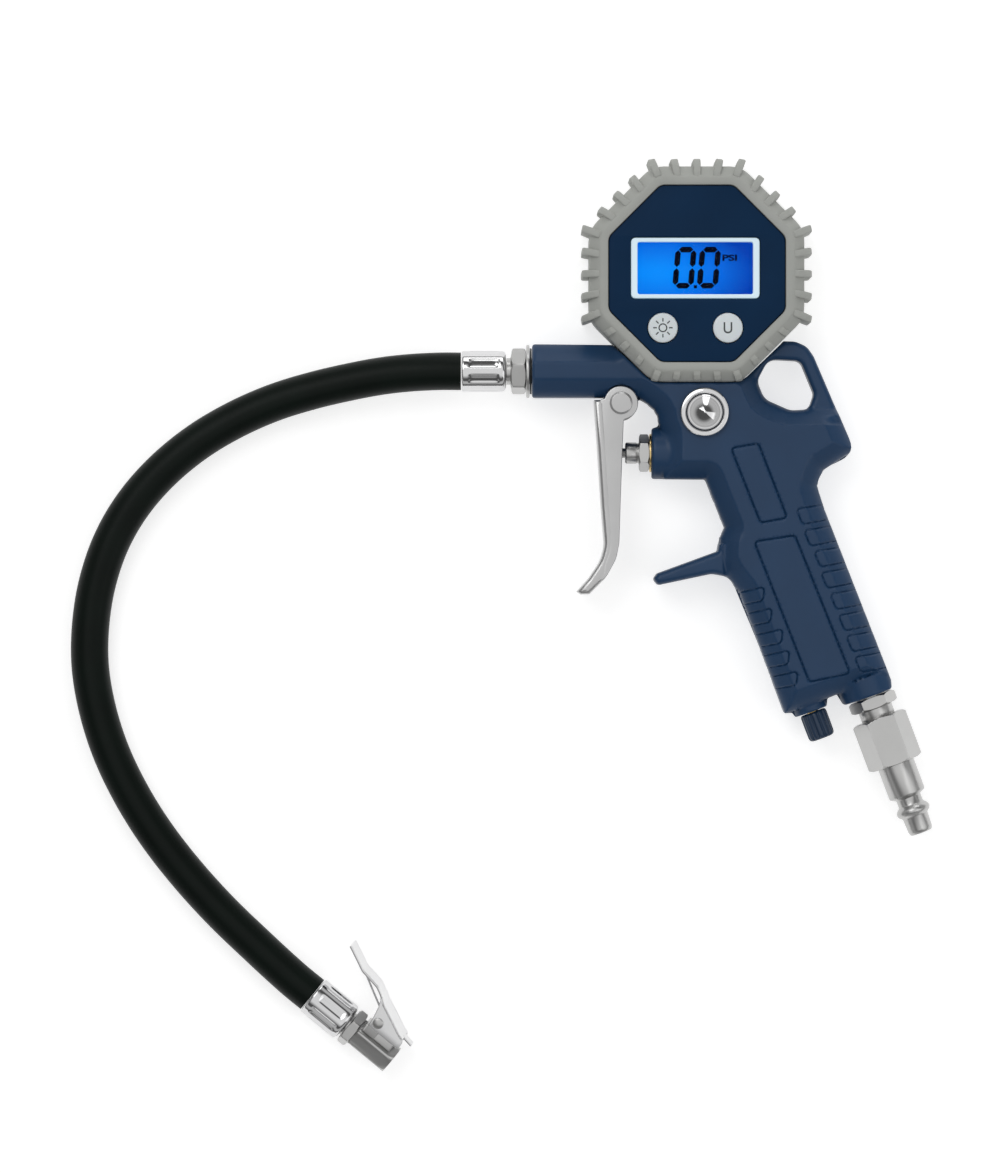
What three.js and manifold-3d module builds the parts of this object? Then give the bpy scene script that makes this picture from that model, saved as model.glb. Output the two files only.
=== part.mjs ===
// A tyre inflator with a digital gauge: a die-cast pistol body with a trigger valve, a gauge head
// in a rubber boot, an air plug under the grip, and a short hose that ends in a clip-on tyre chuck.
// Millimetres. The inflator lies on its side: the barrel points along -X, the gauge lies towards +Y,
// its face looks along +Z, and the far side of the body and of the boot rest on z = 0.

import * as THREE from "three";
import { mergeVertices } from "three/addons/utils/BufferGeometryUtils.js";
import Module from "manifold-3d";

const wasm = await Module();
wasm.setup();

// ---- Clearances ----
const SEAT_GAP = 0.15; // between faces that are clamped together
const FIT_GAP = 0.3; // around a piece that sits in a hole or a pocket
const RUNNING_GAP = 0.25; // around a pin, rod or stem that moves

// ---- Body ----
const BODY_THICKNESS = 24;
const MID = BODY_THICKNESS / 2; // height of the plane that holds the valve, the barrel and the grip's axis
const EDGE_WIDTH = 5; // bevel along the outline, seen from the side
const EDGE_DEPTH = 6;
const BARREL_FACE_X = -57.3;
const BARREL_Y = -33.5;
const BARREL_HEIGHT = 18.6;
const BARREL_BORE = 5; // diameter of the air passage
const CRADLE_Y = -38; // lowest line of the seat that the gauge head rests in
const CRADLE_GAP = 0.5;
const LOOP_THICKNESS = 12;
const LOOP_EDGE = 1.5;
const SPUR_THICKNESS = 18;
const SPUR_EDGE = 1;
const BOSS_FACE_X = -15.5;
const BOSS_DIAMETER = 18.4;
const PASSAGE = 4; // diameter of the cross passages

// ---- Grip and inlet, in the grip's own frame: +Y down its axis, +X towards its front edge ----
const GRIP_LEAN = 20.5; // degrees from the vertical
const INLET_FACE = [61.2, -147.2]; // centre of the inlet boss's end face
const GRIP_FRONT = 30.4;
const GRIP_REAR = -8.5;
const GRIP_END = -4.7;
const INLET_BOSS_DIAMETER = 17.8;
const INLET_THREAD_DIAMETER = 12;
const INLET_THREAD_LENGTH = 12;
const INLET_BORE = 6.4;
const INLET_PASSAGE_END = -26;
const BUSHING_HEX = 14.8; // across flats
const BUSHING_HEX_LENGTH = 4;
const BUSHING_NECK_LENGTH = 3.7;
const PLUG_THREAD_DIAMETER = 11.2;
const PLUG_THREAD_LENGTH = 9;
const PLUG_HEX = 17; // across flats
const PLUG_HEX_LENGTH = 17.2;
const PLUG_BARREL_DIAMETER = 13.1;
const PLUG_BARREL_LENGTH = 11.4;
const PLUG_NECK_DIAMETER = 8.9;
const PLUG_FLANGE_DIAMETER = 12;
const PLUG_NOSE_DIAMETER = 9.1;
const PLUG_BORE = 5.2;
const SCREEN_THICKNESS = 1.4;

// ---- Flow knob, beside the inlet ----
const KNOB_OFFSET = 20.9; // from the inlet's axis towards the grip's front
const KNOB_SEAT = -2.2;
const KNOB_DIAMETER = 9.4;
const KNOB_LENGTH = 9.8;
const KNOB_FLUTES = 12;
const KNOB_FLUTE_DEPTH = 0.5;
const SPINDLE_DIAMETER = 4;
const SPINDLE_DEPTH = 27;

// ---- Trigger ----
const PIVOT = [-26.3, -44.8];
const TRIGGER_WIDTH = 20.4;
const TRIGGER_WALL = 2.2;
const TRIGGER_WEB = 1.8;
const PIVOT_DISC_DIAMETER = 11.9;
const PIVOT_LUG_DIAMETER = 11;
const PIN_DIAMETER = 4;
const PIN_HEAD_DIAMETER = 8;
const PIN_HEAD_HEIGHT = 0.8;

// ---- Trigger valve, along X ----
const VALVE_Y = -62.1;
const VALVE_BORE = 11.6;
const VALVE_CHAMBER_END = 14;
const BONNET_HEX_LENGTH = 3.5;
const BONNET_COLLAR_DIAMETER = 7.5;
const BONNET_COLLAR_LENGTH = 4.8;
const VALVE_SEAT_X = 0;
const PUSHROD_DIAMETER = 3.4;
const PUSHROD_TIP_X = -32.3;
const POPPET_DIAMETER = 9.2;
const POPPET_THICKNESS = 2.3;
const PORT_X = -6; // where the valve's outlet leaves upwards

// ---- Bleed button, on the near side ----
const BLEED = [2.8, -48.1];
const BLEED_FLANGE_DIAMETER = 17;
const BLEED_CUP_DIAMETER = 14.6;
const BLEED_BUTTON_DIAMETER = 12.2;
const BLEED_CONE_HEIGHT = 3.4;
const BLEED_SHANK_DIAMETER = 10;
const BLEED_STEM_DIAMETER = 3.8;

// ---- Gauge head: regular octagons, sized across their flats, about the gauge's own axis ----
const GAUGE_THICKNESS = 29;
const BOOT_FLATS = 75;
const BOOT_CORNER = 10;
const BOOT_FLOOR = 2;
const BOOT_BEVEL = [3.8, 4.5]; // width seen from the front, depth
const BOOT_BACK_OPENING = 56;
const TOOTH_WIDTH = 2.5;
const TOOTH_HEIGHT = 2.6;
const TOOTH_PITCH = 7.5;
const CASE_FLATS = 65;
const CASE_CORNER = 6;
const CASE_WALL = 2.5;
const FACE_FLATS = 61.1;
const FACE_CORNER = 4;
const FACE_THICKNESS = 1.7;
const FACE_RECESS = 0.7; // face plate below the boot's lip
const DISPLAY = { x: -0.6, y: 1.9, frame: [44.7, 21.1], glass: [40.2, 18.2], corner: 1.7 };
const BUTTON_DIAMETER = 10.3;
const BUTTON_PROUD = 0.6;
const BUTTON_FLANGE = 0.75; // how far the retaining flange stands out
const LIGHT_BUTTON = [-11.9, -18.9];
const UNIT_BUTTON = [10.7, -18.9];
const BOARD_FLATS = 52;
const SENSOR_DIAMETER = 6.8;
const BOARD_THICKNESS = 1.6;
const SWITCH_HEIGHT = 2.1;
const BATTERY_DIAMETER = 10.5;
const BATTERY_LENGTH = 44.5;
const BATTERY_DOOR = [48, 30];
const DOOR_THICKNESS = 1.2;
const STEM_DIAMETER = 8;
const STEM_THREAD_DIAMETER = 7;
const STEM_THREAD_LENGTH = 5.8;

// ---- Hose ----
const HOSE_DIAMETER = 13.2;
const HOSE_STEPS = 20;
const FERRULE_LENGTH = 15.9;
const FERRULE_WALL = 0.9;
const BARB_DIAMETER = 6.6;
const SEAL_DIAMETER = 16.1;
const SEAL_THICKNESS = 0.6;
const WASHER_DIAMETER = 18.6;
const WASHER_THICKNESS = 1.15;
const HOSE_HEX = 14.3; // across flats
const HOSE_HEX_LENGTH = 5;
const HOSE_THREAD_DIAMETER = 9;
const HOSE_THREAD_LENGTH = 12;
const HOSE_ROUTE = [
  [-82.2, -33.5, 12],
  [-90, -33.5, 12],
  [-100, -34, 11.6],
  [-110, -35.1, 10.8],
  [-121, -37.1, 9.7],
  [-134, -40.1, 8.5],
  [-148, -44.4, 7.5],
  [-162, -50.6, 6.9],
  [-175, -58.4, 6.8],
  [-187, -68.3, 6.8],
  [-197, -79.7, 6.8],
  [-204.5, -92.4, 6.8],
  [-209.5, -106.6, 6.8],
  [-212, -121.2, 6.8],
  [-212.3, -136, 6.8],
  [-210, -150.6, 6.8],
  [-205.5, -165.4, 6.8],
  [-199, -179.5, 6.8],
  [-190.5, -193.6, 6.8],
  [-180, -207.5, 6.8],
  [-167, -222, 6.8],
  [-152, -236.4, 7],
  [-141, -246.4, 7.3],
  [-134.3, -251.9, 7.3],
];

// ---- Tyre chuck, in its own frame: +Y along its axis, -X towards the lever ----
const CHUCK_DROP = 39.5; // degrees below -X..+X, seen from above
const CHUCK_ROLL = 11; // degrees that the lever leans towards the viewer
const CHUCK_HEX = 12.4; // across flats
const CHUCK_HEX_LENGTH = 3.4;
const CHUCK_DIAMETER = 11.6;
const CHUCK_LENGTH = 15.9;
const CHUCK_MOUTH = 8.4;
const CHUCK_CHAMBER_LENGTH = 8.2;
const CHUCK_THREAD_DIAMETER = 6.4;
const CHUCK_THREAD_LENGTH = 5.7;
const LEVER_WIDTH = 14;
const LEVER_SHEET = 0.9;
const LEVER_PIVOT = [24, 8.8]; // distance from the hose's end, height above the chuck's axis
const LEVER_PIN_DIAMETER = 2.4;
const LEVER_TAB_WIDTH = 11;

// ---- Solids: three.js shapes, joined and cut with manifold-3d ----
const MERGE_DISTANCE = 1e-3;
const ROUND = 20; // sides of a turned piece
const FINE_ROUND = 10; // sides of a small turned piece
const REACH = 60; // how far a cutting tool runs past what it cuts

const radians = THREE.MathUtils.degToRad;

function toSolid(geometry) {
  const bare = new THREE.BufferGeometry();
  bare.setAttribute("position", geometry.getAttribute("position"));
  bare.setIndex(geometry.index);
  const merged = mergeVertices(bare, MERGE_DISTANCE);
  return new wasm.Manifold(
    new wasm.Mesh({
      numProp: 3,
      vertProperties: new Float32Array(merged.attributes.position.array),
      triVerts: new Uint32Array(merged.index.array),
    }),
  );
}

function toGeometry(solid) {
  const mesh = solid.getMesh();
  const indexed = new THREE.BufferGeometry();
  indexed.setAttribute("position", new THREE.BufferAttribute(mesh.vertProperties, 3));
  indexed.setIndex(new THREE.BufferAttribute(mesh.triVerts, 1));
  const geometry = indexed.toNonIndexed();
  geometry.computeVertexNormals();
  return geometry;
}

function join(...geometries) {
  return toGeometry(geometries.map(toSolid).reduce((a, b) => a.add(b)));
}

function cut(geometry, ...tools) {
  return toGeometry(tools.map(toSolid).reduce((a, b) => a.subtract(b), toSolid(geometry)));
}

function common(a, b) {
  return toGeometry(toSolid(a).intersect(toSolid(b)));
}

function outline(points) {
  return new THREE.Shape(points.map(([x, y]) => new THREE.Vector2(x, y)));
}

// A regular octagon with two flats square to each axis and rounded corners.
function octagon(flats, corner) {
  const shape = new THREE.Shape();
  const reach = (flats / 2 - corner) / Math.cos(Math.PI / 8);
  for (let k = 0; k < 8; k++) {
    const turn = Math.PI / 8 + (k * Math.PI) / 4;
    const start = (k * Math.PI) / 4;
    shape.absarc(reach * Math.cos(turn), reach * Math.sin(turn), corner, start, start + Math.PI / 4);
  }
  return shape;
}

function roundedRectangle(width, height, corner) {
  const x = width / 2 - corner;
  const y = height / 2 - corner;
  const shape = new THREE.Shape();
  shape.absarc(x, y, corner, 0, Math.PI / 2);
  shape.absarc(-x, y, corner, Math.PI / 2, Math.PI);
  shape.absarc(-x, -y, corner, Math.PI, 1.5 * Math.PI);
  shape.absarc(x, -y, corner, 1.5 * Math.PI, 2 * Math.PI);
  return shape;
}

// A flat shape raised from one height to another, with an optional bevel inside its outline.
function prism(shape, low, high, bevel = [0, 0], bevelSegments = 1) {
  const [width, depth] = bevel;
  const geometry = new THREE.ExtrudeGeometry(shape, {
    depth: high - low - 2 * depth,
    curveSegments: 1,
    bevelEnabled: width > 0,
    bevelThickness: depth,
    bevelSize: width,
    bevelOffset: -width,
    bevelSegments,
  });
  return geometry.translate(0, 0, low + depth);
}

// A prism that is centred on the height z.
function slab(shape, thickness, z, bevel, bevelSegments) {
  return prism(shape, z - thickness / 2, z + thickness / 2, bevel, bevelSegments);
}

function block(size, centre) {
  return new THREE.BoxGeometry(...size).translate(...centre);
}

// A turned piece about +Y. The profile lists [radius, position along the axis], counterclockwise.
function turned(profile, sides = ROUND) {
  return new THREE.LatheGeometry(
    profile.map(([radius, y]) => new THREE.Vector2(radius, y)),
    sides,
  );
}

function sleeve(outer, inner, low, high, sides = ROUND) {
  return turned([[outer, low], [outer, high], [inner, high], [inner, low], [outer, low]], sides);
}

function rod(radius, low, high, sides = ROUND) {
  return turned([[0, low], [radius, low], [radius, high], [0, high]], sides);
}

// A hexagon about +Y with two flats facing +Z and -Z, and its corners chamfered at both ends.
function hexagon(flats, low, high) {
  const corners = flats / 2 / Math.cos(Math.PI / 6);
  const chamfer = (corners - flats / 2) * 0.9;
  const drop = chamfer * 0.6;
  const bar = new THREE.CylinderGeometry(
    corners, corners, high - low, 6, 1, false, Math.PI / 6,
  ).translate(0, (high + low) / 2, 0);
  const envelope = turned([
    [0, low],
    [corners - chamfer, low],
    [corners + 0.05, low + drop],
    [corners + 0.05, high - drop],
    [corners - chamfer, high],
    [0, high],
  ]);
  return common(bar, envelope);
}

function ringSeal(radius, wire, y) {
  return new THREE.TorusGeometry(radius, wire, 5, 12).rotateX(Math.PI / 2).translate(0, y, 0);
}

class Helix extends THREE.Curve {
  constructor(radius, length, turns) {
    super();
    this.radius = radius;
    this.length = length;
    this.turns = turns;
  }

  getPoint(t, target = new THREE.Vector3()) {
    const angle = 2 * Math.PI * this.turns * t;
    return target.set(this.radius * Math.cos(angle), this.length * t, this.radius * Math.sin(angle));
  }
}

function polygonSection(radius, sides) {
  const step = (2 * Math.PI) / sides;
  const corners = Array.from({ length: sides }, (_, i) => [
    radius * Math.cos(i * step),
    radius * Math.sin(i * step),
  ]);
  return outline(corners);
}

function wireAlong(curve, radius, sides, steps) {
  return new THREE.ExtrudeGeometry(polygonSection(radius, sides), { extrudePath: curve, steps });
}

// A compression spring about +Y that fills the space between two positions.
function spring(radius, wire, low, high, turns) {
  const path = new Helix(radius, high - low - 2 * wire, turns);
  return wireAlong(path, wire, 4, turns * 8).translate(0, low + wire, 0);
}

const alongX = (geometry) => geometry.rotateZ(-Math.PI / 2);
const alongZ = (geometry) => geometry.rotateX(Math.PI / 2);

// A round tool from one point to another.
function bore(from, to, diameter, sides = FINE_ROUND) {
  const start = new THREE.Vector3(...from);
  const way = new THREE.Vector3(...to).sub(start);
  const turn = new THREE.Quaternion().setFromUnitVectors(
    new THREE.Vector3(0, 1, 0),
    way.clone().normalize(),
  );
  return rod(diameter / 2, 0, way.length(), sides).applyQuaternion(turn).translate(...from);
}

// ---- Frames ----
const gripMatrix = new THREE.Matrix4()
  .makeTranslation(INLET_FACE[0], INLET_FACE[1], MID)
  .multiply(new THREE.Matrix4().makeRotationZ(Math.PI + radians(GRIP_LEAN)));

// A point of the grip's frame, seen from the side.
function gripPoint(x, y) {
  const point = new THREE.Vector3(x, y, 0).applyMatrix4(gripMatrix);
  return [point.x, point.y];
}

const chuckMatrix = new THREE.Matrix4()
  .makeTranslation(...HOSE_ROUTE.at(-1))
  .multiply(new THREE.Matrix4().makeRotationZ(-Math.PI / 2 - radians(CHUCK_DROP)))
  .multiply(new THREE.Matrix4().makeRotationY(radians(CHUCK_ROLL)));

const gaugeY = CRADLE_Y + CRADLE_GAP + BOOT_FLATS / 2;

// ---- Materials ----
function finish(color, roughness, metalness) {
  return () => new THREE.MeshStandardMaterial({ color, roughness, metalness });
}

const navyPaint = finish(0x22385a, 0.45, 0.1);
const navyPlastic = finish(0x14294a, 0.4, 0);
const greyRubber = finish(0x8f928e, 0.85, 0);
const blackRubber = finish(0x161a18, 0.6, 0);
const castSilver = finish(0xb9b9b9, 0.4, 0.9);
const chrome = finish(0xdadada, 0.12, 1);
const nickel = finish(0xc4c4c2, 0.25, 1);
const steel = finish(0x9a9a9a, 0.35, 1);
const brass = finish(0xc2a15a, 0.35, 1);
const whitePlastic = finish(0xe8ecee, 0.4, 0);
const darkPlastic = finish(0x23262a, 0.6, 0);
const displayGlass = finish(0x1477e0, 0.2, 0);
const clearPlastic = finish(0xdfeaf2, 0.05, 0);
const boardGreen = finish(0x1d6b3a, 0.6, 0);

const inflator = new THREE.Group();
const grip = new THREE.Group();
const gauge = new THREE.Group();
const valve = new THREE.Group();
const hoseEnd = new THREE.Group();
const bleed = new THREE.Group();
const chuck = new THREE.Group();

grip.applyMatrix4(gripMatrix);
gauge.position.set(0, gaugeY, 0);
valve.position.set(0, VALVE_Y, MID);
hoseEnd.position.set(0, BARREL_Y, MID);
bleed.position.set(BLEED[0], BLEED[1], BODY_THICKNESS);
chuck.applyMatrix4(chuckMatrix);
inflator.add(grip, gauge, valve, hoseEnd, bleed, chuck);

const cordNodes = new Set();

function add(parent, name, geometry, material) {
  const mesh = new THREE.Mesh(geometry, material());
  mesh.name = name;
  parent.add(mesh);
  return mesh;
}

// ---- Body casting ----
function bodySlab() {
  const barrelTop = BARREL_Y + BARREL_HEIGHT / 2;
  const barrelFoot = BARREL_Y - BARREL_HEIGHT / 2;
  const beyond = BARREL_FACE_X - EDGE_WIDTH - 1; // the bevel at the barrel's end is faced off
  const shape = outline([
    [beyond, barrelTop],
    [beyond, barrelFoot],
    [-20, barrelFoot],
    [-16.9, -45.1],
    [-14.7, -47],
    [-13.5, -49.2],
    [-12.9, -52.6],
    [-11.5, -56],
    [-11.5, -71.4],
    [3, -71.4],
    [9.8, -88],
    [7.6, -96],
    [9, -104.7],
    gripPoint(GRIP_FRONT + 1, -53.7),
    gripPoint(GRIP_FRONT, GRIP_END),
    gripPoint(GRIP_REAR, GRIP_END),
    [44.8, -81.9],
    [42.4, -73.6],
    [43.5, -69.6],
    [46.6, -66.4],
    [54.4, -61.5],
    [50.8, -52.6],
    [31, -52.6],
    [24.5, -50.5],
    [18.5, -46.5],
    [14, -40],
    [12, barrelTop],
  ]);
  return slab(shape, BODY_THICKNESS, MID, [EDGE_WIDTH, EDGE_DEPTH], 2);
}

function hangingLoop() {
  const shape = outline([
    [0, -56],
    [52.4, -56.5],
    [42.2, -29.4],
    [40.9, -27.1],
    [38.9, -25.2],
    [35.9, -23.7],
    [32.4, -23.2],
    [0, -23.2],
  ]);
  return slab(shape, LOOP_THICKNESS, MID, [LOOP_EDGE, LOOP_EDGE], 2);
}

function hookHole() {
  const shape = new THREE.Shape();
  shape.moveTo(21.4, -37.1);
  shape.bezierCurveTo(22, -40.5, 24.5, -43.3, 28, -45.2);
  shape.bezierCurveTo(31, -46.6, 34, -47.2, 36.9, -46.7);
  shape.bezierCurveTo(39.5, -45.6, 41, -43.2, 40.2, -41.1);
  shape.lineTo(36.6, -32.5);
  shape.bezierCurveTo(35.6, -30.4, 34, -29.9, 32, -29.9);
  shape.lineTo(28.2, -29.9);
  shape.bezierCurveTo(24.5, -30.2, 21.6, -33, 21.4, -37.1);
  return slab(new THREE.Shape(shape.getPoints(3)), BODY_THICKNESS + REACH, MID);
}

function fingerSpur() {
  const shape = outline([
    [14, -93],
    [7.6, -96.4],
    [-13, -104.2],
    [-13.9, -105.4],
    [-13.6, -107.6],
    [-12.2, -108.3],
    [5.5, -104.5],
    [16, -106],
  ]);
  return slab(shape, SPUR_THICKNESS, MID, [SPUR_EDGE, SPUR_EDGE]);
}

// The lug between the trigger's cheeks, and the shallow pockets that the cheeks' discs turn in.
const cheekInside = TRIGGER_WIDTH / 2 - TRIGGER_WALL;

function pivotLug() {
  const width = 2 * (cheekInside - FIT_GAP);
  const disc = rod(PIVOT_LUG_DIAMETER / 2, -width / 2, width / 2);
  return alongZ(disc).translate(PIVOT[0], PIVOT[1], MID);
}

function cheekPockets() {
  const radius = PIVOT_DISC_DIAMETER / 2 + FIT_GAP;
  return [-1, 1].map((side) => {
    const near = cheekInside - FIT_GAP;
    const pocket = alongZ(rod(radius, near, near + REACH));
    return (side < 0 ? pocket.rotateX(Math.PI) : pocket).translate(PIVOT[0], PIVOT[1], MID);
  });
}

function airPassages() {
  const [bleedX, bleedY] = BLEED;
  const knobTop = gripPoint(KNOB_OFFSET, -SPINDLE_DEPTH - 1);
  const crossLevel = INLET_PASSAGE_END + 2;
  const threadBore = HOSE_THREAD_DIAMETER + 2 * FIT_GAP;
  const threadEnd = BARREL_FACE_X + HOSE_THREAD_LENGTH + 1;
  const stemBore = STEM_THREAD_DIAMETER + 2 * FIT_GAP;
  const stemEnd = CRADLE_Y - STEM_THREAD_LENGTH - 0.5;
  const shankBore = BLEED_SHANK_DIAMETER + 2 * FIT_GAP;
  const cupBore = BLEED_CUP_DIAMETER + 2 * FIT_GAP;
  const inletBore = INLET_THREAD_DIAMETER + 2 * FIT_GAP;
  const at = ([x, y]) => [x, y, MID];
  return [
    bore([BARREL_FACE_X - 1, BARREL_Y, MID], [threadEnd, BARREL_Y, MID], threadBore, ROUND),
    bore([threadEnd - 1, BARREL_Y, MID], [-29, BARREL_Y, MID], BARREL_BORE),
    bore([-31, BARREL_Y, MID], [bleedX, bleedY - 1, MID], PASSAGE),
    bore([PORT_X, -45, MID], [PORT_X, VALVE_Y, MID], PASSAGE),
    bore([BOSS_FACE_X - 1, VALVE_Y, MID], [VALVE_CHAMBER_END, VALVE_Y, MID], VALVE_BORE, ROUND),
    bore([VALVE_CHAMBER_END - 1, VALVE_Y, MID], [32, VALVE_Y, MID], BARREL_BORE),
    bore([30, VALVE_Y, MID], at(knobTop), PASSAGE),
    bore([bleedX, bleedY, MID - 1], [bleedX, bleedY, BODY_THICKNESS - 9], PASSAGE + 0.8),
    bore([bleedX, bleedY, BODY_THICKNESS - 9.5], [bleedX, bleedY, BODY_THICKNESS + 1], shankBore, ROUND),
    bore([bleedX, bleedY, BODY_THICKNESS - 1.9], [bleedX, bleedY, BODY_THICKNESS + 1], cupBore, ROUND),
    bore([0, CRADLE_Y + 2, MID], [0, stemEnd, MID], stemBore, ROUND),
    bore([0, stemEnd + 1, MID], [bleedX, bleedY, MID], PASSAGE),
    bore(at(gripPoint(0, 2)), at(gripPoint(0, -INLET_THREAD_LENGTH - 2.5)), inletBore, ROUND),
    bore(at(gripPoint(0, -INLET_THREAD_LENGTH)), at(gripPoint(0, INLET_PASSAGE_END)), INLET_BORE),
    bore(at(gripPoint(0, crossLevel)), at(gripPoint(KNOB_OFFSET, crossLevel)), PASSAGE),
    bore(at(gripPoint(KNOB_OFFSET, 2)), at(knobTop), SPINDLE_DIAMETER + 2 * FIT_GAP),
    bore([...PIVOT, -1], [...PIVOT, BODY_THICKNESS + 1], PIN_DIAMETER + 2 * SEAT_GAP),
  ];
}

function bodyCasting() {
  const seat = prism(octagon(BOOT_FLATS + 2 * CRADLE_GAP, BOOT_CORNER), -1, BODY_THICKNESS + REACH);
  seat.translate(0, gaugeY, 0);
  const beyondFace = block(
    [REACH, BARREL_HEIGHT * 2, BODY_THICKNESS * 2],
    [BARREL_FACE_X - REACH / 2, BARREL_Y, MID],
  );
  const boss = alongX(rod(BOSS_DIAMETER / 2, BOSS_FACE_X, VALVE_CHAMBER_END));
  const inletBoss = rod(INLET_BOSS_DIAMETER / 2, -12, 0).applyMatrix4(gripMatrix);
  const knobBoss = rod(KNOB_DIAMETER / 2 + 1, -12, KNOB_SEAT).translate(KNOB_OFFSET, 0, 0);
  const outside = join(
    cut(bodySlab(), ...cheekPockets()),
    cut(hangingLoop(), hookHole()),
    fingerSpur(),
    pivotLug(),
    boss.translate(0, VALVE_Y, MID),
    inletBoss,
    knobBoss.applyMatrix4(gripMatrix),
  );
  return cut(outside, seat, beyondFace, hookHole(), ...airPassages());
}

// ---- Trigger ----
function triggerLever() {
  const side = outline([
    [-35.7, -43.8],
    [-34.5, -60.5],
    [-33.2, -81.2],
    [-32.1, -94.4],
    [-33.5, -99.9],
    [-37.7, -106.2],
    [-41.8, -110.6],
    [-40.1, -111.7],
    [-37.3, -111.5],
    [-31.4, -105.5],
    [-28, -99.2],
    [-26.9, -93.7],
    [-26.5, -81.2],
    [-25.8, -60.5],
    [-25.5, -48],
    [-27, -43.8],
  ]);
  const channel = outline([
    [-35.7 + TRIGGER_WEB, -43.8 + REACH],
    [-35.7 + TRIGGER_WEB, -43.8],
    [-34.5 + TRIGGER_WEB, -60.5],
    [-33.2 + TRIGGER_WEB, -81.2],
    [-32.2 + TRIGGER_WEB, -93],
    [-30.2 + TRIGGER_WEB, -98],
    [-30.2 + REACH, -98],
    [-30.2 + REACH, -43.8 + REACH],
  ]);
  const disc = alongZ(rod(PIVOT_DISC_DIAMETER / 2, -TRIGGER_WIDTH / 2, TRIGGER_WIDTH / 2));
  const solid = join(
    slab(side, TRIGGER_WIDTH, MID, [0.5, 0.5]),
    disc.translate(PIVOT[0], PIVOT[1], MID),
  );
  const pinHole = alongZ(rod(PIN_DIAMETER / 2 + RUNNING_GAP, -REACH, REACH, FINE_ROUND));
  return cut(
    solid,
    slab(channel, 2 * cheekInside, MID),
    pinHole.translate(PIVOT[0], PIVOT[1], MID),
  );
}

function addTrigger() {
  const face = TRIGGER_WIDTH / 2 + SEAT_GAP;
  const pin = turned([
    [0, -face - 1.2],
    [PIN_DIAMETER / 2, -face - 1.2],
    [PIN_DIAMETER / 2, face],
    [PIN_HEAD_DIAMETER / 2, face],
    [PIN_HEAD_DIAMETER / 2 - 0.3, face + PIN_HEAD_HEIGHT],
    [0, face + PIN_HEAD_HEIGHT],
  ]);
  const clipRadius = PIN_DIAMETER / 2 + SEAT_GAP;
  const clip = sleeve(PIN_HEAD_DIAMETER / 2, clipRadius, -face - 0.8, -face, FINE_ROUND);
  add(inflator, "trigger", triggerLever(), castSilver);
  add(inflator, "trigger_pin", alongZ(pin), steel).position.set(...PIVOT, MID);
  add(inflator, "trigger_pin_clip", alongZ(clip), steel).position.set(...PIVOT, MID);
}

// ---- Trigger valve ----
const washerFace = BOSS_FACE_X - SEAT_GAP;
const washerThickness = 0.6;
const hexFoot = washerFace - washerThickness - SEAT_GAP;
const hexHead = hexFoot - BONNET_HEX_LENGTH;
const rodBore = PUSHROD_DIAMETER / 2 + RUNNING_GAP;
const shankRadius = VALVE_BORE / 2 - FIT_GAP;
const bonnetFlats = 2 * shankRadius + 0.5;

function valveBonnet() {
  const chamberRadius = rodBore + 1.15;
  const glandX = BOSS_FACE_X + 2.3;
  const body = join(
    turned([
      [0, hexHead - BONNET_COLLAR_LENGTH],
      [BONNET_COLLAR_DIAMETER / 2, hexHead - BONNET_COLLAR_LENGTH],
      [BONNET_COLLAR_DIAMETER / 2, hexHead + 1],
      [0, hexHead + 1],
    ]),
    hexagon(bonnetFlats, hexHead, hexFoot),
    turned([
      [0, hexFoot - 1],
      [shankRadius, hexFoot - 1],
      [shankRadius, PORT_X - 2.2],
      [shankRadius - 0.9, PORT_X - 2.2],
      [shankRadius - 0.9, PORT_X + 2.2],
      [shankRadius, PORT_X + 2.2],
      [shankRadius, VALVE_SEAT_X],
      [0, VALVE_SEAT_X],
    ]),
  );
  return cut(
    body,
    rod(rodBore, -REACH, REACH, FINE_ROUND),
    rod(chamberRadius, glandX, REACH, FINE_ROUND),
    bore([-REACH, PORT_X, 0], [REACH, PORT_X, 0], PASSAGE - 0.6),
  );
}

function addValve() {
  const poppetFace = VALVE_SEAT_X + FIT_GAP;
  const poppetBack = poppetFace + POPPET_THICKNESS;
  const flange = poppetBack + FIT_GAP;
  const neck = PUSHROD_DIAMETER / 2 - 0.7;
  const tip = PUSHROD_DIAMETER / 2;
  const pushrod = turned(
    [
      [0, PUSHROD_TIP_X],
      [tip * 0.6, PUSHROD_TIP_X + tip * 0.2],
      [tip, PUSHROD_TIP_X + tip],
      [tip, VALVE_SEAT_X],
      [neck, VALVE_SEAT_X],
      [neck, flange],
      [POPPET_DIAMETER / 2 - 0.6, flange],
      [POPPET_DIAMETER / 2 - 0.6, flange + 1],
      [neck + 0.6, flange + 1],
      [neck + 0.6, flange + 4],
      [0, flange + 4],
    ],
    FINE_ROUND,
  );
  const washer = sleeve(
    bonnetFlats / 2 + 1, shankRadius + 0.2, washerFace - washerThickness, washerFace,
  );
  const poppet = sleeve(POPPET_DIAMETER / 2, neck + FIT_GAP, poppetFace, poppetBack, FINE_ROUND);
  const coil = spring(POPPET_DIAMETER / 2 - 1.2, 0.45, flange + 1.2, VALVE_CHAMBER_END - 0.2, 5);
  const gland = ringSeal(rodBore + 0.5, 0.45, BOSS_FACE_X + 3);
  add(valve, "valve_bonnet", alongX(valveBonnet()), nickel);
  add(valve, "valve_washer", alongX(washer), brass);
  add(valve, "valve_pushrod", alongX(pushrod), steel);
  add(valve, "valve_poppet", alongX(poppet), blackRubber);
  add(valve, "valve_spring", alongX(coil), steel);
  add(valve, "pushrod_o_ring", alongX(gland), blackRubber);
}

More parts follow.
